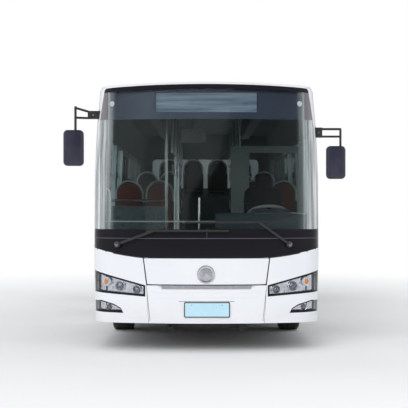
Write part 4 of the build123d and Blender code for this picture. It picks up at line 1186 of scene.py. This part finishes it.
# Nuts on their circle, a hub cap, and thin dark discs on the outer disc of a wheel as painted shade where its
# hand holes are
def wheelDetails(nuts, cap, node, way, axle):
    rim, height = Skin([node]), axleValues["height"]

    def around(count, turn, radius):
        for k in range(count):
            a = 2 * math.pi * (k + turn) / count
            yield rim.hit((way * 3, axle + radius * math.cos(a), height + radius * math.sin(a)), (-way, 0, 0))

    for place, _ in around(10, 0, 0.105):
        nuts.lathe([(0.019, -0.004), (0.019, 0.004), (0.014, 0.005), (0.013, 0.022), (0, 0.024)], place,
                   (way, 0, 0), 6)
    hub = rim.hit((way * 3, axle, height + 0.075), (-way, 0, 0))[0]
    cap.lathe([(0, -0.03), (0.072, -0.03), (0.072, 0.012), (0.062, 0.030), (0.045, 0.036), (0, 0.038)],
              (hub.x, axle, height), (way, 0, 0), 40)
    # Painted shade: thin dark discs standing for the dark seen through the hand holes
    for place, normal in around(8, 0.5, 0.205):
        nuts.lathe([(0, 0.0), (0.024, 0.0), (0.024, 0.0012), (0, 0.0012)], place, normal, 24)


dressMirrors()
dressRear()
dressRoof()
dressWheels()
print("roof, rear and wheels dressed")

cabValues = {"seatX": 0.675, "seatY": -3.90, "lean": 5, "signY": -4.926, "monitor": (-0.148, -4.60, 2.365)}


# Applies what a modifier gives as the thing's own mesh
def settle(thing):
    graph = bpy.context.evaluated_depsgraph_get()
    shape = bpy.data.meshes.new_from_object(thing.evaluated_get(graph))
    thing.modifiers.clear()
    thing.data = shape


# Blows a pad up under pressure, with a cap on how far each point may move
def puff(thing, voxel, cap, finer=True):
    remesh = thing.modifiers.new("remesh", "REMESH")
    remesh.mode = "VOXEL"
    remesh.voxel_size = voxel
    settle(thing)
    rest = [v.co.copy() for v in thing.data.vertices]
    cloth = thing.modifiers.new("cloth", "CLOTH")
    cloth.settings.use_pressure = True
    cloth.settings.uniform_pressure_force = 4.0
    cloth.settings.effector_weights.gravity = 0
    cloth.settings.tension_stiffness = 12
    cloth.settings.quality = 4
    for moment in range(1, 21):
        bpy.context.scene.frame_set(moment)
    settle(thing)
    for vertex, start in zip(thing.data.vertices, rest):
        move = vertex.co - start
        if move.length > cap:
            vertex.co = start + move * (cap / move.length)
    bpy.context.scene.frame_set(1)
    if finer:
        thing.modifiers.new("finer", "SUBSURF").levels = 1
        settle(thing)
    for face in thing.data.polygons:
        face.use_smooth = True


# A pad from an outline, thickest inside a pulled-in edge
def padShape(outline, thick, lay, inset=0.016):
    mould = Mould()
    middle = [sum(p[i] for p in outline) / len(outline) for i in (0, 1)]
    drawn = []
    for u, v in outline:
        away = math.dist((u, v), middle)
        share = 1 - inset / away
        drawn.append((middle[0] + (u - middle[0]) * share, middle[1] + (v - middle[1]) * share))
    rings = [[lay(u, v, 0.0) for u, v in drawn], [lay(u, v, thick * 0.22) for u, v in outline],
             [lay(u, v, thick * 0.78) for u, v in outline], [lay(u, v, thick) for u, v in drawn]]
    mould.rings(rings)
    return mould


def tiltedBack(u, v, w):
    lean = math.radians(cabValues["lean"])
    x, y, z = cabValues["seatX"], cabValues["seatY"] - 0.02, 1.20
    return Vector((x + u, y - w * math.cos(lean) + v * math.sin(lean),
                   z + v * math.cos(lean) + w * math.sin(lean)))


# Driver's seat: two padded pieces on a shell, a suspension box and belt post
def driverSeat():
    x, y = cabValues["seatX"], cabValues["seatY"]
    sides = [(0.215, 0.05), (0.238, 0.12), (0.246, 0.30), (0.248, 0.46), (0.236, 0.54), (0.200, 0.585),
             (0.142, 0.612), (0.112, 0.632), (0.104, 0.66), (0.101, 0.72), (0.092, 0.758), (0.060, 0.776)]
    outline = sides + [(-a, b) for a, b in reversed(sides)]
    back = padShape(outline, 0.075, tiltedBack)
    back = back.make("driverBackPad", "driverCloth", replaced=("driver_seat",))
    puff(back, 0.006, 0.014)
    path = roundedPath((x - 0.232, y - 0.468), (x + 0.232, y - 0.03), 0.07, 6)
    cushion = padShape(path, 0.105, lambda u, v, w: Vector((u, v, 1.152 + w)))
    cushion = cushion.make("driverSeatPad", "driverCloth")
    puff(cushion, 0.006, 0.012)
    shell, bellows, seams = Mould(), Mould(), Mould()
    shell.box((x - 0.20, y - 0.42, 0.782), (x + 0.20, y - 0.06, 0.84))
    shell.box((x - 0.215, y - 0.45, 1.11), (x + 0.215, y - 0.05, 1.16))
    shell.box((x + 0.21, y - 0.30, 1.16), (x + 0.245, y - 0.10, 1.22))
    rings = []
    for k in range(15):
        z = 0.838 + 0.0195 * k
        inset = 0.012 if k % 2 else 0.035
        path = roundedPath((x - 0.19 + inset, y - 0.41 + inset), (x + 0.19 - inset, y - 0.07 - inset), 0.04, 4)
        rings.append([Vector((u, v, z)) for u, v in path])
    bellows.rings(rings)
    for v in (0.24, 0.40, 0.60):
        reach = 0.235 if v < 0.5 else 0.135
        line = runs([(-reach, v), (reach, v)], 0.04)
        seams.tube([tiltedBack(a, b, 0.083) for a, b in line], 0.0025, 6)
    shell.make("driverSeatFrame", "blackPlastic", bevel=0.012)
    bellows.make("driverSeatBellows", "blackRubber")
    seams.make("driverSeatSeams", "greyPlastic")


# All passenger places as the CAD has them: x, y, foot height and rise
def seatPlaces():
    places = []
    for x in (-0.99, -0.60, 0.60, 0.99):
        places += [(x, -2.40, 1.048, 0.16), (x, 2.80, 1.048, 0.41), (x, 3.81, 0.72, 0.38)]
    return places + [(x, 4.45, 1.30, 0.42) for x in (-0.66, -0.22, 0.22, 0.66)]


def roundTop(width, foot, top, radius, steps=8):
    points = [(-width, foot), (width, foot), (width, top - radius)]
    for k in range(1, steps * 2):
        a = math.pi * k / (steps * 2)
        points.append(((width - radius) * (1 if math.cos(a) > 0 else -1) + radius * math.cos(a),
                       top - radius + radius * math.sin(a)))
    return points + [(-width, top - radius)]


# Passenger seats: pads copied from one simulated pair, on plastic shells with grab handles
def passengerSeats():
    backForm = padShape(roundTop(0.160, 0.10, 0.655, 0.145), 0.034, lambda u, v, w: upright(u, v, -0.034 - w),
                        0.012)
    back = backForm.make("passengerBackPads", "passengerCloth")
    puff(back, 0.010, 0.007, False)
    seatForm = padShape(roundedPath((-0.170, -0.415), (0.170, -0.06), 0.05, 6), 0.045,
                        lambda u, v, w: Vector((u, v, 0.040 + w)), 0.012)
    cushion = seatForm.make("passengerSeatPads", "passengerCloth")
    puff(cushion, 0.010, 0.007, False)
    places = seatPlaces()
    for pad in (back, cushion):
        repeatAt(pad, [Vector((x, y, base + rise)) for x, y, base, rise in places])
    shells, handles, posts = Mould(), Mould(), Mould()
    for x, y, base, rise in places:
        z = base + rise
        lay = lambda u, v, w, o=(x, y, z): Vector((o[0] + u, o[1] + w, o[2] + v))
        plate(shells, roundTop(0.182, 0.02, 0.68, 0.165), -0.036, -0.010, lay)
        path = roundedPath((-0.182, -0.428), (0.182, -0.03), 0.05, 4)
        shells.rings([[Vector((x + u, y + v, z + h)) for u, v in path] for h in (0.006, 0.040)])
        arc = [(x + 0.170 * math.cos(a), y - 0.050, z + 0.514 + 0.170 * math.sin(a))
               for a in (math.pi * k / 16 for k in range(17))]
        handles.tube([(x + 0.170, y - 0.042, z + 0.43)] + arc + [(x - 0.170, y - 0.042, z + 0.43)], 0.0125)
        posts.box((x - 0.035, y - 0.28, base + 0.012), (x + 0.035, y - 0.16, z + 0.01))
        posts.box((x - 0.10, y - 0.34, base), (x + 0.10, y - 0.10, base + 0.014))
    shells.make("passengerSeatShells", "seatShell", replaced=("passenger_seats",), bevel=0.004)
    handles.make("passengerSeatHandles", "paleHandle")
    posts.make("passengerSeatLegs", "greyPlastic", bevel=0.004)


# Makes one mesh of a thing repeated at several places
def repeatAt(thing, offsets):
    verts = [v.co.copy() for v in thing.data.vertices]
    faces = [tuple(p.vertices) for p in thing.data.polygons]
    many = Mould()
    for offset in offsets:
        many.add([v + offset for v in verts], faces)
    name = thing.data.name
    shape = bpy.data.meshes.new(name + "All")
    shape.from_pydata([tuple(v) for v in many.verts], [], many.faces)
    shape.materials.append(thing.data.materials[0])
    shape.shade_smooth()
    thing.data = shape


dashValues = {"hood": [(-4.985, 1.47), (-4.80, 1.48), (-4.775, 1.49), (-4.79, 1.528), (-4.83, 1.543),
                       (-4.96, 1.525), (-4.995, 1.50)], "from": 0.50, "to": 0.92,
              "dials": ((0.60, 0.020), (0.70, 0.022), (0.80, 0.020)), "rows": (1.43, 1.38)}


# Instrument hood, dials and switches
def dressDash():
    d = dashValues
    hood, dials, keys = Mould(), Mould(), Mould()
    board = Skin(["dashboard"])
    plate(hood, d["hood"], d["from"], d["to"], lambda u, v, w: Vector((w, u, v)))
    hood.make("instrumentHood", "dashPlastic", bevel=0.012)
    for x, radius in d["dials"]:
        dials.lathe([(0, 0), (radius, 0), (radius, 0.006), (radius * 0.9, 0.008), (0, 0.007)], (x, -4.783, 1.508),
                    (0, 1, 0.25), 32)
    for z in d["rows"]:
        for x in (0.18 + 0.034 * k for k in range(9)):
            depth = board.hit((x, -4.0, z), (0, -1, 0))[0].y
            keys.box((x - 0.013, depth - 0.006, z - 0.011), (x + 0.013, depth + 0.006, z + 0.011))
    reach = Vector((0.008, 0.005, 0.011))
    for k in range(8):
        place = board.hit((0.97 + 0.02 * (k % 4), -4.0, 1.42 - 0.03 * (k // 4)), (0, -1, 0))[0]
        keys.box(place - reach, place + reach)
    dials.make("dashDials", "darkLens")
    keys.make("dashSwitches", "greyPlastic", bevel=0.002)


# Pale ledge behind the front glass, fare post and the rails of the entry screen
def dressEntry():
    trim, steel = Mould(), Mould()
    level = 1.409
    ledge = [bodySkin.front(k / 10, level)[0] for k in range(-11, 2)]
    trim.tube([(p.x, p.y + 0.065, level) for p in ledge], 0.008)
    trim.tube([(0.93, -4.80, 1.500), (1.00, -4.85, 1.496), (1.10, -4.90, 1.488)], 0.008)
    steel.tube([(-0.080, -4.72, 0.402), (-0.080, -4.72, 1.665), (-0.080, -4.72, 1.67)], 0.0125)
    steel.tube([(-1.13, -3.30, 1.640), (-0.492, -3.30, 1.640)], 0.0158)
    steel.tube([(-0.490, -3.30, 0.402), (-0.490, -3.30, 2.86)], 0.0178)
    trim.make("cabTrim", "paleHandle")
    steel.make("entryRails", "railSteel")


# Hanging monitor, blank sign face, header lamps and the pane behind the driver
def dressHeader():
    screen, face = Mould(), Mould()
    x, y, z = cabValues["monitor"]
    screen.box((x - 0.142, y - 0.018, z - 0.075), (x + 0.142, y + 0.018, z + 0.075))
    screen.box((x - 0.022, y - 0.012, z + 0.07), (x + 0.010, y + 0.012, 2.84))
    face.box((x - 0.128, y - 0.0195, z - 0.062), (x + 0.128, y - 0.017, z + 0.062))
    screen.make("cabMonitor", "blackPlastic", bevel=0.004)
    face.make("cabMonitorFace", "screenBlack")
    sign, lamps, pane = Mould(), Mould(), Mould()
    y = cabValues["signY"]
    sign.box((-0.556, y, 2.612), (0.556, y + 0.006, 2.830))
    sign.make("signFace", "signFace")
    board = Skin(["destination_sign"])
    for x in (-1.040, 1.028):
        lamps.lathe([(0, -0.004), (0.031, -0.004), (0.031, 0.004), (0.024, 0.012), (0, 0.015)],
                    board.front(x, 2.707)[0], (0, -1, 0), 28)
    lamps.make("headerLamps", "whiteLamp")
    pane.box((0.515, -3.545, 1.345), (1.105, -3.537, 2.225))
    pane.make("partitionPane", "partitionGlass")


ceilingValues = {"lights": 0.72, "rails": 0.43, "loops": 14, "first": -2.6, "step": 0.5, "poles": (-1.1, 0.8)}


# Ceiling light panels, and hanging loops along both rails except beside the poles
def dressCeiling():
    v = ceilingValues
    lights, grab, straps = Mould(), Mould(), Mould()
    for side in (-1, 1):
        x = side * v["lights"]
        lights.box((x - 0.07, -3.2, 2.790), (x + 0.07, 4.6, 2.802))
        for y in (v["first"] + v["step"] * k for k in range(v["loops"])):
            if all(abs(y - pole) > 0.1 for pole in v["poles"]):
                strapLoop(straps, grab, side * v["rails"], y)
    lights.make("ceilingLights", "frostedPanel", bevel=0.004)
    straps.make("strapLoops", "paleHandle")
    grab.make("strapBands", "blackRubber")


# Hanging grab loop on a short band from the overhead rail
def strapLoop(loops, bands, x, y):
    bands.box((x - 0.002, y - 0.012, 2.10), (x + 0.002, y + 0.012, 2.245))
    corners = roundedPath((y - 0.055, 1.985), (y + 0.055, 2.105), 0.03, 4)
    loops.tube([(x, u, v) for u, v in corners], 0.006, 6, True)


driverSeat()
passengerSeats()
dressDash()
dressEntry()
dressHeader()
dressCeiling()
print("inside dressed")
